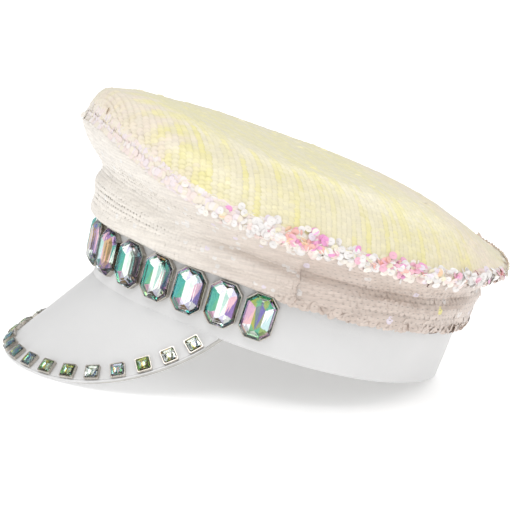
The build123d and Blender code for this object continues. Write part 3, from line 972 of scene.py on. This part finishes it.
def front_turns(levels, n):
    seam = np.interp(levels, SEAM_S, SEAM_T)[:, None]
    return seam * np.linspace(-1, 1, n)[None, :]


def back_turns(levels, n):
    seam = np.interp(levels, SEAM_S, SEAM_T)[:, None]
    return seam + (2 * math.pi - 2 * seam) * np.linspace(0, 1, n)[None, :]


def sow(name, finish_name, seed, spread, point, normal, along, tint, fine=1.0, sides=10, **more):
    """Sequins on seats, made one mesh and dressed."""
    sizes = bpy.context.scene.cap_sizes
    piece = seats(name, point, normal, along, tint, **more)
    grow(piece, "sequin_rows", diameter=sizes.sequin * fine, thickness=sizes.sequin_thick,
         spread=spread, seed=seed, sides=sides, material=material(finish_name))
    dress(piece, None, "sequin_fabric")


def top_places(sizes, rng):
    """Turn, share and row number of each sequin, on rows from side to side of the top."""
    shares = np.linspace(0, 1, 400)
    ends = np.array((math.pi, 0.0))
    back_line, front_line = dome_point(ends[:, None], shares[None, :])
    back_end, front_end = rim_plan(ends)[:, 1] + RIM_FORWARD
    y = np.concatenate((shares[::-1] * front_end, shares[1:] * back_end)) - RIM_FORWARD
    run = run_along(np.concatenate((front_line[::-1], back_line[1:])))
    rows = np.interp(np.arange(1.2, run[-1] - 1.5, sizes.row_pitch * 1000), run, y)
    turns = np.linspace(-math.pi, math.pi, 1441)
    arm = rim_plan(turns) + np.array((0.0, RIM_FORWARD))
    bearing = np.unwrap(np.arctan2(arm[:, 0], -arm[:, 1]))
    reach = np.linalg.norm(arm, axis=1)
    pitch = sizes.along_pitch * 1000
    x = np.linspace(-125, 125, 1001)
    found = []
    for number, at in enumerate(rows):
        way = np.arctan2(x, -(at + RIM_FORWARD))
        share = np.hypot(x, at + RIM_FORWARD) / np.interp(way, bearing, reach)
        inside = share < TOP_ROWS_END
        if inside.sum() < 4:
            continue
        t, share = np.interp(way, bearing, turns)[inside], share[inside]
        run = run_along(dome_point(t, share))
        at_run = np.arange(0.5 + pitch / 2 * (number % 2), run[-1], pitch)
        at_run = at_run + rng.normal(0, 0.15, len(at_run))
        found.append((np.interp(at_run, run, t), np.interp(at_run, run, share),
                      np.full(len(at_run), number)))
    return np.concatenate(found, axis=1)


class CAP_OT_crown_top(bpy.types.Operator):
    """Make the crown's top panel and its rows of sequins"""

    bl_idname = "cap.crown_top"
    bl_label = "Crown Top"

    def execute(self, context):
        sizes = context.scene.cap_sizes
        sheet = crown_top_sheet("crown_top_cloth", 0.5, sizes.cloth * 1000, 40, 216)
        dress(sheet, "backing_cloth", "sequin_fabric", "crown_top_panel")
        rng = np.random.default_rng(11)
        t, share, row = top_places(sizes, rng)
        n = len(t)
        point, normal, _ = frames(dome_point, t, np.maximum(share, 0.01))
        normal = facing_up(normal)
        across = unit(np.cross(normal, np.array((1.0, 0.0, 0.0))))
        point = point + normal * 0.1
        point[:, 1] += rng.normal(0, 0.12, n)
        tint = top_tints(rng, point[:, 0], point[:, 1], row)
        lifted = rng.uniform(size=n) < np.where(point[:, 0] < -30, 0.04, 0.01)
        tilt = np.where(lifted, rng.uniform(-0.3, 0.3, n), 0.0) + sizes.shingle
        roll = rng.normal(-0.12, 0.02, n)
        near = point[:, 0] > 0
        for side, part in (("left", near), ("right", ~near)):
            sow(f"crown_top_sequins_{side}", "top_sequins", 5, sizes.spread, point[part],
                normal[part], across[part], tint[part], tilt=tilt[part], roll=roll[part],
                size=rng.uniform(0.94, 1.04, part.sum()))
        return {"FINISHED"}


class CAP_OT_crown_side(bpy.types.Operator):
    """Make the two side panels of the crown and their rows of sequins"""

    bl_idname = "cap.crown_side"
    bl_label = "Crown Side"

    def execute(self, context):
        levels = np.linspace(0, 1, 64)
        thick = context.scene.cap_sizes.cloth * 1000
        cloths = []
        for side, ends, columns in (("front", front_turns, 181), ("back", back_turns, 261)):
            turns = ends(levels, columns)
            point, normal, _ = frames(wall_point, turns, levels[:, None] + 0 * turns)
            outer, inner = (point - normal * depth for depth in (0.35, 0.35 + thick))
            cloths.append(shell(f"crown_side_{side}_cloth", outer, inner, closed=False))
            dress(cloths[-1], "backing_cloth", "sequin_fabric", f"crown_side_{side}")
        rng = np.random.default_rng(23)
        self.rows("front", front_turns, 0.62, rng)
        self.rows("back", back_turns, 0.98, rng)
        return {"FINISHED"}

    def rows(self, side, ends, fine, rng):
        """The rows of one panel; fine is the size of its sequins and of its pitches."""
        sizes = bpy.context.scene.cap_sizes
        low, high = ROLL_BOTTOM + 0.02, SIDE_ROWS_END
        span = WALL_RUNS.sum() * (high - low)
        pitch = sizes.side_pitch * 1000 * fine
        found = []
        rows = np.linspace(low, high, int(span / (sizes.side_row_pitch * 1000 * fine)))
        for number, s in enumerate(rows):
            t = ends(np.array((s,)), 721)[0]
            run = run_along(wall_point(t, np.full_like(t, s)))
            at = np.arange(0.3 + pitch / 2 * (number % 2), run[-1] - 0.3, pitch)
            at = at + rng.normal(0, 0.12, len(at))
            found.append((np.interp(at, run, t), np.full(len(at), s)))
        t, s = np.concatenate(found, axis=1)
        s = s + rng.normal(0, 0.0016, len(s))
        point, normal, along = frames(wall_point, t, s)
        tint = side_tints(rng, t)
        away = from_front(t)
        lively = fade(away, 0.8, 1.2, 0.15)
        tilt = -(sizes.shingle * (0.4 + 0.8 * lively) + rng.normal(0, 0.07, len(t)) * lively)
        sow(f"crown_side_{side}_sequins", "side_sequins", 9, sizes.spread * 0.5,
            point + normal * 0.15, normal, along, tint, fine=fine, tilt=tilt,
            roll=rng.normal(0, 0.05, len(t)) * lively, size=rng.uniform(0.94, 1.04, len(t)),
            hole=fade(away, 1.15, 0.4, 0.06))


class CAP_OT_loose_sequins(bpy.types.Operator):
    """Make the flipped sequins along the rim and the ragged ones on the lower edge"""

    bl_idname = "cap.loose_sequins"
    bl_label = "Loose Sequins"

    def execute(self, context):
        sizes, tone = context.scene.cap_sizes, context.scene.cap_colours
        rng = np.random.default_rng(31)
        self.flipped(rng, sizes.loose, tone)
        self.edging(rng, tone)
        self.ragged(rng, sizes.ragged)
        return {"FINISHED"}

    def flipped(self, rng, n, tone):
        """Flipped sequins in coloured patches along the rim."""
        t = rng.uniform(-math.pi, math.pi, n * 3)
        away = np.abs(t)
        chance = (0.25 + 0.75 * np.abs(np.sin(t)) ** 2) * fade(away, 0.75, 0.4, 0.03)
        chance = chance * fade(away, np.where(t > 0, 2.7, 2.1), -0.3, 0.06)
        t = t[rng.uniform(size=len(t)) < chance][:n]
        n, away = len(t), np.abs(t)
        across = rng.normal(-0.35, 1.0, n)
        top, top_normal, _ = frames(dome_point, t, np.clip(1 - np.abs(across) * 0.016, 0.94, 0.999))
        wall, wall_normal, along = frames(
            wall_point, t, np.clip(1 - np.abs(across) * 0.055, 0.84, 0.999))
        on_top = (across > 0)[:, None]
        point = np.where(on_top, top, wall)
        normal = unit(np.where(on_top, facing_up(top_normal), wall_normal) * 0.7
                      + level_point(outward(rim_plan, t), np.full(n, 0.15)) * 0.6)
        bright = (tone.pearl, tone.pink, tone.magenta, tone.salmon, tone.orange)
        colours = pick(rng, (46, 13, 8, 9, 5, 7, 12), bright + (tone.lilac, tone.cream), n)
        vivid = pick(rng, (8, 34, 20, 22, 16), bright, n)
        mood, drawn = np.sin(11 * t + 1.5 * np.sin(4 * t + 1.0)), rng.uniform(size=n)
        colours = np.where(((mood > 0.25) & (drawn < 0.75))[:, None], vivid, colours)
        colours = np.where(((mood < -0.45) & (drawn < 0.7))[:, None], tuple(tone.pearl), colours)
        plain = pick(rng, (40, 40, 20), (tone.pearl, tone.side_cream, tone.blush), n)
        faded = rng.uniform(size=n) < np.where(across > -0.5, 0.1, 0.85)
        colours = np.where((faded | (away < 0.9) | (away > 2.5))[:, None], plain, colours)
        calm = 0.42 * fade(t, 3.0, -0.5, 0.25) * np.where(t < 0, 0.6, 1)
        sow("crown_rim_sequins", "loose_sequins", 3, 0.05,
            point + normal * rng.uniform(0.5, 2.0, (n, 1)), normal, along, colours, sides=12,
            tilt=rng.normal(-0.08, 1, n) * calm, roll=rng.normal(0, 0.8, n) * calm,
            size=rng.uniform(0.78, 0.96, n))

    def edging(self, rng, tone):
        """Five close rows that cover the seam of the rim; level is 0 on the seam."""
        t = whole_turns(EDGING)
        t = (t[None, :] + np.array((0.0, 0.5, 0.5, 0.0, 0.25))[:, None] * (t[1] - t[0])).ravel()
        n = len(t)
        level = np.repeat((-1.2, 1.3, -0.6, 0.7, 0.05), EDGING) + rng.normal(0, 0.12, n)
        top, top_normal, _ = frames(dome_point, t, 0.998 - 0.010 * np.maximum(level, 0))
        wall, wall_normal, along = frames(wall_point, t, 0.998 + 0.026 * np.minimum(level, 0))
        share = (0.5 + 0.4 * level)[:, None]
        normal = unit(facing_up(top_normal) * share + wall_normal * (1 - share))
        proud = (0.4 + 0.35 * np.exp(-4 * level ** 2))[:, None]
        point = np.where(level[:, None] > 0, top, wall) + normal * proud
        soft = pick(rng, (34, 22, 12, 32), (tone.blush, tone.lilac, tone.pearl, tone.cream), n)
        soft = 0.5 * (soft + np.array((0.91, 0.81, 0.77)))
        warm = pick(rng, (50, 30, 20), (tone.side_cream, tone.cream, tone.blush), n)
        away = from_front(t)
        sharp = fade(away, 1.9, 0.6) + fade(away, 0.5, -0.3)
        at_front = rng.uniform(size=n) < fade(away, 1.35, -0.4)
        sow("crown_edging_sequins", "top_sequins", 6, 0.05, point, normal, along,
            np.where(at_front[:, None], soft, warm),
            tilt=-rng.normal(0.06, 0.06, n) * (1 - 0.8 * sharp), roll=rng.normal(0, 0.06, n),
            size=rng.uniform(0.8, 0.95, n) * (1 - 0.5 * sharp * (np.abs(level) < 1)), hole=0.2)

    def ragged(self, rng, n):
        """Sequins that stand out from the lower edge at the sides and the back."""
        t = rng.uniform(1.2, 2 * math.pi - 1.2, n)
        s = ROLL_BOTTOM + rng.uniform(0.0, 0.10, n)
        point, normal, along = frames(wall_point, t, s)
        behind = 1 - 0.6 * np.maximum(-np.cos(t), 0)
        sow("crown_edge_sequins", "side_sequins", 4, 0.05, point + normal * 0.8, normal, along,
            side_tints(rng, t), tilt=-rng.uniform(0.1, 0.9, n) * behind,
            roll=rng.normal(0, 0.25, n), size=rng.uniform(0.85, 1.05, n))


class CAP_OT_inside(bpy.types.Operator):
    """Make the wadding and the satin lining inside the crown"""

    bl_idname = "cap.inside"
    bl_label = "Wadding and Lining"

    def execute(self, context):
        wad = crown_top_sheet("crown_top_wadding", PADDING_DEPTH, PADDING_THICK, 22, 120)
        dress(wad, "wadding", "padding", "crown_padding_top")
        lining = crown_top_sheet("crown_top_lining", LINING_DEPTH, LINING_THICK, 30, 180,
                                 swell=1.6)
        dress(lining, "lining_satin", "lining", "crown_lining_top")
        levels = np.linspace(WALL_AT[5], 0.985, 36)
        t = whole_turns(240)[None, :] + 0 * levels[:, None]
        s = levels[:, None] + 0 * t
        point, normal, _ = frames(wall_base, t, s)
        ripple, slack = 1 + np.sin(46 * t + 3 * np.sin(5 * t)), fade(s, 1, -0.5, 0.15)

        def layer(name, depth, thick, folds):
            above = point.copy()
            above[..., 2] = np.maximum(above[..., 2], BAND_HEIGHT + 1.9 + 0.25 * depth)
            deep = depth + folds * 0.6 * ripple * slack
            outer, inner = (above - normal * d[..., None] for d in (deep, deep + thick))
            return shell(name, outer, inner, closed=True)

        wad = layer("crown_side_wadding", PADDING_DEPTH, PADDING_THICK, 0.2)
        dress(wad, "wadding", "padding", "crown_padding_side")
        lining = layer("crown_side_lining", LINING_DEPTH, LINING_THICK, 1.0)
        dress(lining, "lining_satin", "lining", "crown_lining_side")
        return {"FINISHED"}


def stitch_row(name, slot, point, along, normal, **values):
    row = seats(name, point, unit(normal), unit(along), (1.0, 1.0, 1.0))
    grow(row, "stitch_rows", material=material("thread"), **values)
    dress(row, None, slot)


class CAP_OT_band(bpy.types.Operator):
    """Make the band's cover, its sweatband and their stitches"""

    bl_idname = "cap.band"
    bl_label = "Band"

    def execute(self, context):
        high = BAND_HEIGHT
        section = [(0.0, z) for z in np.linspace(0.8, high - 0.8, 15)]
        section += [(0.08, high - 0.35), (0.45, high - 0.05), (0.82, high - 0.3)]
        section += [(0.9, z) for z in np.linspace(high - 0.6, 1.2, 8)]
        section += [(1.1, 0.92), (1.9, 0.90), (2.14, 0.72), (2.16, 0.4), (2.0, 0.06), (1.2, 0.0),
                    (0.55, 0.02), (0.2, 0.14), (0.05, 0.4)]

        def drift(t, z):
            back = np.angle(np.exp(1j * (t - math.pi))) * BACK_RADIUS
            seam = 0.35 * hump(back, 0.4, 0.7) - 0.25 * hump(back, -2, 2)
            return waves(41, t, z / 9, (5, 9, 14), 0.10) + seam * np.clip(z / 4, 0, 1)

        cover = swept("band_cover_fabric", section, whole_turns(420), drift)
        dress(cover, "coated_white", "coated_fabric", "band_cover")
        section = [(2.32, z) for z in np.linspace(1.3, 32.2, 8)]
        section += [(2.4, 32.8), (2.7, 33.0), (3.0, 32.8)]
        section += [(3.1, z) for z in np.linspace(32.2, 1.3, 14)]
        section += [(3.0, 0.70), (2.7, 0.55), (2.42, 0.75)]

        def loose(t, z):
            return np.maximum(0, waves(43, t, 0 * z, (3, 6, 10), 0.5)) * np.clip(z / 33, 0, 1) ** 2

        tape = swept("sweatband_tape", section, whole_turns(300), loose)
        dress(tape, "sweatband_tape", "sweatband_tape", "sweatband")
        t = whole_turns(190)
        for number, height in enumerate((30.6, 2.6)):
            z = np.full(len(t), height)
            point = band_point(t, z, 3.14 + loose(t, z))
            stitch_row(f"sweatband_stitches_{number + 1}", "sweatband_tape", point,
                       band_point(t + 1e-3, z, 3.14) - point,
                       level_point(-outward(band_plan, t), np.full(len(t), 0.08)),
                       length=context.scene.cap_sizes.stitch, seed=number)
        z = np.arange(3.0, 36.5, 3.0)
        for number, off in enumerate((-0.016, 0.024)):
            t = np.full(len(z), math.pi + off)
            stitch_row(f"band_seam_stitches_{number + 1}", "coated_fabric",
                       band_point(t, z, drift(t, z) + 0.05),
                       band_point(t, z + 1) - band_point(t, z),
                       level_point(outward(band_plan, t), np.full(len(z), -0.05)),
                       length=0.0021, thread=0.0004, seed=7)
        dress_nodes("stiffener_card", "band_stiffener")
        return {"FINISHED"}


def visor_rim(count):
    """The visor's edge with its upward and its outward directions."""
    end = math.radians(VISOR_END_ANGLE)
    edge = visor_edge(np.linspace(-end, end, count))
    normal = visor_normal(edge[:, 0], edge[:, 1])
    out = unit(np.cross(unit(np.gradient(edge, axis=0)), normal))
    return edge, normal, out * np.sign((out[:, :2] * edge[:, :2]).sum(-1))[:, None]


class CAP_OT_visor(bpy.types.Operator):
    """Make the visor's upper and under covers, and its turned edge"""

    bl_idname = "cap.visor"
    bl_label = "Visor"

    def execute(self, context):
        edge, _, out = visor_rim(141)
        root_y = -band_front_at(edge[:, 0])
        share = np.concatenate(((-0.015, 0, 0.012, 0.024, 0.036, 0.05),
                                np.linspace(0.08, 1, 28)))[:, None]
        x = edge[None, :, 0] + 0 * share
        y = root_y + (edge[None, :, 1] - root_y) * share
        at_edge = np.exp(-(((1 - share) * 30) / 2.0) ** 2)[..., None]

        def layer(depth, beyond=0.0):
            point = np.stack((x, y, visor_height(x, y)), -1)
            if depth < 1:
                point[..., 2] += 1.1 * np.exp(-(share * 32) ** 2)
            return point - visor_normal(x, y) * depth + out[None] * (beyond * at_edge)

        def cover(name, top, bottom, node):
            rounded = [layer(top + (bottom - top) * (1 - math.cos(a)) / 2,
                             0.05 * math.sin(a))[-1:] for a in (0.4, 0.9, 1.4, 1.74, 2.24, 2.74)]
            made = shell(name, np.concatenate([layer(top)] + rounded[:3]),
                         np.concatenate([layer(bottom)] + rounded[:2:-1]), closed=False)
            dress(made, "coated_white", "coated_fabric", node)
            return made

        top = cover("visor_top_fabric", 0.0, VISOR_COVER, "visor_top_cover")
        under = cover("visor_under_fabric", 2.4, VISOR_THICK, "visor_under_cover")
        dress(self.turned_edge(), "coated_white", "coated_fabric")
        dress_nodes("visor_board", "visor_board")
        return {"FINISHED"}

    def turned_edge(self):
        """The upper cover's turned edge, which closes the visor over its board."""
        edge, normal, out = visor_rim(161)
        outer = np.stack([edge - normal * (VISOR_THICK * (1 - math.cos(a)) / 2)
                          + out * (0.08 + 0.55 * math.sin(a))
                          for a in np.linspace(0, 1, 9) * math.pi])
        return shell("visor_turned_edge", outer, outer - out * 0.45, closed=False)


def octagon(half_width, half_length, corner, z):
    a, b = half_width - corner, half_length - corner
    quarter = [(half_width, -b), (half_width, b), (a, half_length), (-a, half_length)]
    return [(x, y, z) for x, y in quarter] + [(-x, -y, z) for x, y in quarter]


def stone_shape(name, half_width, half_length, corner, levels, foil_rings, tones):
    """A cut stone: rings of glass facets from its table down, then foiled facets behind.
    levels and foil_rings give (inset, height); tones gives the foil's rings their colours."""
    points, faces, foil, tone = [], [], [], []

    def ring(inset, z):
        start = len(points)
        scale = (half_width - inset) / half_width
        points.extend(octagon(half_width - inset, half_length - inset, corner * scale, z))
        return list(range(start, start + 8))

    def face(numbers, is_foil, value):
        faces.append(tuple(numbers))
        foil.append(is_foil)
        tone.append(value)

    glass = [ring(*level) for level in levels]
    face(glass[0], False, 0.0)
    for upper, lower in zip(glass, glass[1:]):
        for numbers in strip_faces(lower, upper, True):
            face(numbers, False, 0.0)
    last = glass[-1]
    rng = np.random.default_rng(5)
    for level, values in zip(foil_rings, tones):
        inner = ring(*level)
        for j, value in enumerate(values):
            k = (j + 1) % 8
            face((last[k], last[j], inner[j]), True, value)
            face((last[k], inner[j], inner[k]), True, value + rng.uniform(-0.07, 0.07))
        last = inner
    inset, z = foil_rings[-1]
    side, tall = 0.46 * (half_width - inset), half_length - inset
    a = len(points)
    b, c, d, e, f = range(a + 1, a + 6)
    points.extend((x, y * tall, z - 0.22) for x, y in (
        (side, -0.50), (side, 0.50), (0, 0.82), (-side, 0.50), (-side, -0.50), (0, -0.82)))
    r = last
    fan = [(a, f, b), (b, f, c), (c, f, d), (d, f, e), (r[1], r[0], a), (r[1], a, b),
           (r[5], r[4], d), (r[5], d, e), (r[2], r[1], b), (r[2], b, c), (r[3], r[2], c),
           (r[3], c, d), (r[4], r[3], d), (r[0], r[7], a), (a, r[7], f), (r[7], r[6], f),
           (r[6], e, f), (r[6], r[5], e)]
    for numbers, value in zip(fan, tones[2]):
        face(numbers, True, value)
    piece = make_piece(name, np.array(points) * 0.001, faces, smooth=False)
    for key, kind, values in (("is_foil", "BOOLEAN", foil),
                              ("facet_tone", "FLOAT", np.asarray(tone, np.float32))):
        piece.data.attributes.new(key, kind, "FACE").data.foreach_set("value", values)
    return piece


def row_places(curve, count, pitch):
    """Turns at equal steps along a curve, counted both ways from its middle."""
    t = np.linspace(-math.pi / 2 * 1.5, math.pi / 2 * 1.5, 4321)
    run = run_along(curve(t))
    places = (np.arange(count) - (count - 1) / 2) * pitch
    return np.interp(places, run - np.interp(0.0, t, run), t)


def set_stones(name, node, shape, point, square, along, shift):
    """One stone on each point; shift turns each stone's colours round the foil's colours."""
    row = seats(name, point, square, along, np.repeat(shift[:, None], 3, 1))
    grow(row, "stone_rows", stone=shape, material=material("stone_glass"),
         foil=material("stone_foil"))
    dress(row, None, "faceted_stone", *[f"{node}_{n + 1:02d}" for n in range(len(shift))])
    bpy.data.objects.remove(shape)


class CAP_OT_stones(bpy.types.Operator):
    """Make the cut stones on the band and the visor, and finish their metal cups"""

    bl_idname = "cap.stones"
    bl_label = "Stones"

    def execute(self, context):
        self.on_band()
        self.on_visor(np.random.default_rng(17))
        dress_nodes("cup_metal", "visor_stone_cups",
                    *[f"band_stone_cup_{n + 1:02d}" for n in range(BAND_STONES)])
        return {"FINISHED"}

    def on_band(self):
        tones = ((0.70, 0.92, 0.88, 0.94, 0.86, 0.68, 0.90, 0.62),
                 (0.60, 0.48, 0.92, 0.86, 0.20, 0.22, 0.88, 0.54),
                 (0.03, 0.12, 0.06, 0.01, 0.50, 0.60, 0.22, 0.26, 0.90, 0.97, 0.64, 0.92, 0.98,
                  0.96, 0.90, 0.74, 0.93, 0.58))
        shape = stone_shape("band_stone_shape", 8.3, 11.8, 4.5,
                            ((3.3, 5.6), (1.9, 4.7), (-0.3, 2.5), (-0.62, 1.75), (-0.5, 1.42),
                             (0.1, 1.36)), ((1.2, 0.85), (2.5, 0.45)), tones)

        def middle(t):
            return band_point(t, np.full_like(t, BAND_STONE_UP))

        t = row_places(middle, BAND_STONES, BAND_STONE_PITCH)
        normal = outward(band_plan, t)
        square = unit(level_point(normal, -band_flare(normal)))
        along = level_point(np.stack((-normal[:, 1], normal[:, 0]), -1), 0 * t)
        shift = (0.38, 0.02, 0.0, 0.04, 0.0, 0.50, 0.62, 0.0, 0.03, 0.0, 0.02, 0.37)
        set_stones("band_stones", "band_stone", shape, middle(t) + square * 0.75, square, along,
                   np.resize(shift, len(t)))

    def on_visor(self, rng):
        # Tones near 0.80 pick the foil's near-black stop: painted dark reflections on some facets.
        tones = ((0.02, 0.80, 0.06, 0.74, 0.00, 0.78, 0.05, 0.72),
                 (0.06, 0.38, 0.02, 0.80, 0.98, 0.08, 0.40, 0.82),
                 (0.02, 0.80, 0.06, 0.38, 0.44, 0.02, 0.82, 0.03, 0.90, 0.97, 0.05, 0.38, 0.98,
                  0.96, 0.80, 0.74, 0.40, 0.84))
        shape = stone_shape("visor_stone_shape", 3.45, 3.45, 0.6,
                            ((1.7, 2.6), (0.9, 2.2), (-0.2, 1.45), (-0.4, 1.15), (-0.3, 1.06),
                             (0.06, 1.02)), ((0.7, 0.7), (1.5, 0.4)), tones)
        t = row_places(visor_edge, VISOR_STONES, VISOR_STONE_PITCH)
        edge = visor_edge(t)
        along = unit(visor_edge(t + 1e-3) - visor_edge(t - 1e-3))
        square = visor_normal(edge[:, 0], edge[:, 1])
        point = edge + unit(np.cross(square, along)) * VISOR_STONE_INSET
        point[:, 2] = visor_height(point[:, 0], point[:, 1])
        square = visor_normal(point[:, 0], point[:, 1])
        half = np.array((-0.01, -0.03, 0.34, 0.86, 0.0, 0.35, 0.33, 0.42, 0.43))
        shift = np.resize(np.concatenate((half, half[::-1])), len(t))
        set_stones("visor_stones", "visor_stone", shape, point + square * 0.7, square, along,
                   shift + rng.uniform(-0.01, 0.01, len(t)))


class CAP_OT_stage(bpy.types.Operator):
    """Make the floor, the soft lights and the camera"""

    bl_idname = "cap.stage"
    bl_label = "Stage"

    def execute(self, context):
        scene = context.scene
        mesh = bpy.data.meshes.new("studio_floor")
        reach = 6.0
        corners = ((-1, -1), (1, -1), (1, 1), (-1, 1))
        mesh.from_pydata([(x * reach, y * reach, 0) for x, y in corners], [], [(0, 1, 2, 3)])
        mesh.materials.append(material("studio_floor"))
        new_object("studio_floor", mesh)
        scene.world = bpy.data.worlds.new("studio")
        scene.world.use_nodes = True
        tree = scene.world.node_tree
        connect(tree, next(n for n in tree.nodes if n.type == "BACKGROUND"),
                {"Color": (1.0, 1.0, 1.0, 1.0), "Strength": 0.71})
        for name, where, aim, size, power in (
            ("key_light", (0.5, -0.5, 1.3), (0, 0, 0.08), 0.9, 6.0),
            ("side_light", (1.4, 0.5, 0.7), (0, 0, 0.06), 0.8, 1.5),
            ("back_light", (-0.9, 0.9, 1.0), (0, 0, 0.08), 0.8, 2.0),
        ):
            lamp = bpy.data.lights.new(name, "AREA")
            lamp.shape = "DISK"
            lamp.size = size
            lamp.energy = power
            placed = new_object(name, lamp)
            placed.location = where
            look = Vector(aim) - Vector(where)
            placed.rotation_euler = look.to_track_quat("-Z", "Y").to_euler()
        scene.view_settings.view_transform = "Standard"
        self.camera()
        return {"FINISHED"}

    def camera(self):
        """A long lens from the wearer's left and a little in front, slightly rolled."""
        around, up, roll = math.radians(66.161), math.radians(10.409), math.radians(18.34)
        distance, aside, below = 1664.634, 0.003815673, 0.02267906
        back = np.array((math.sin(around) * math.cos(up), -math.cos(around) * math.cos(up),
                         math.sin(up)))
        right = np.array((math.cos(around), math.sin(around), 0.0))
        above = np.cross(back, right)
        side = right * math.cos(roll) + above * math.sin(roll)
        top = -right * math.sin(roll) + above * math.cos(roll)
        ahead = unit(-back - side * aside + top * below)
        side = unit(side - ahead * side.dot(ahead))
        top = np.cross(side, ahead)
        lens = bpy.data.cameras.new("camera")
        lens.sensor_width = 36.0
        lens.lens = 209.8219
        lens.clip_end = 20.0
        camera = new_object("camera", lens)
        turn = Matrix([Vector(turned(v)) for v in (side, top, -ahead)]).transposed().to_4x4()
        camera.matrix_world = Matrix.Translation(Vector(set_down(back * distance))) @ turn
        bpy.context.scene.camera = camera


class CAP_PT_panel(bpy.types.Panel):
    """The cap's sizes, colours and pieces"""

    bl_idname = "CAP_PT_panel"
    bl_label = "Captain Cap"
    bl_space_type = "VIEW_3D"
    bl_region_type = "UI"
    bl_category = "Captain Cap"

    def draw(self, context):
        for group in (context.scene.cap_sizes, context.scene.cap_colours):
            box = self.layout.box()
            for key in group.bl_rna.properties.keys():
                if key not in ("rna_type", "name"):
                    box.prop(group, key)
        for operator in OPERATORS:
            self.layout.operator(operator.bl_idname)


OPERATORS = (CAP_OT_stage, CAP_OT_band, CAP_OT_visor, CAP_OT_stones, CAP_OT_inside,
             CAP_OT_crown_top, CAP_OT_crown_side, CAP_OT_loose_sequins)
CLASSES = (CapSizes, CapColours) + OPERATORS + (CAP_PT_panel,)


def register():
    for made in CLASSES:
        bpy.utils.register_class(made)
    bpy.types.Scene.cap_sizes = bpy.props.PointerProperty(type=CapSizes)
    bpy.types.Scene.cap_colours = bpy.props.PointerProperty(type=CapColours)


def unregister():
    del bpy.types.Scene.cap_colours
    del bpy.types.Scene.cap_sizes
    for made in reversed(CLASSES):
        bpy.utils.unregister_class(made)


def plain(box):
    return [[float(v) for v in corner] for corner in box]


def main():
    register()
    for operator in OPERATORS:
        group, name = operator.bl_idname.split(".")
        getattr(getattr(bpy.ops, group), name)()


if __name__ == "__main__":
    main()
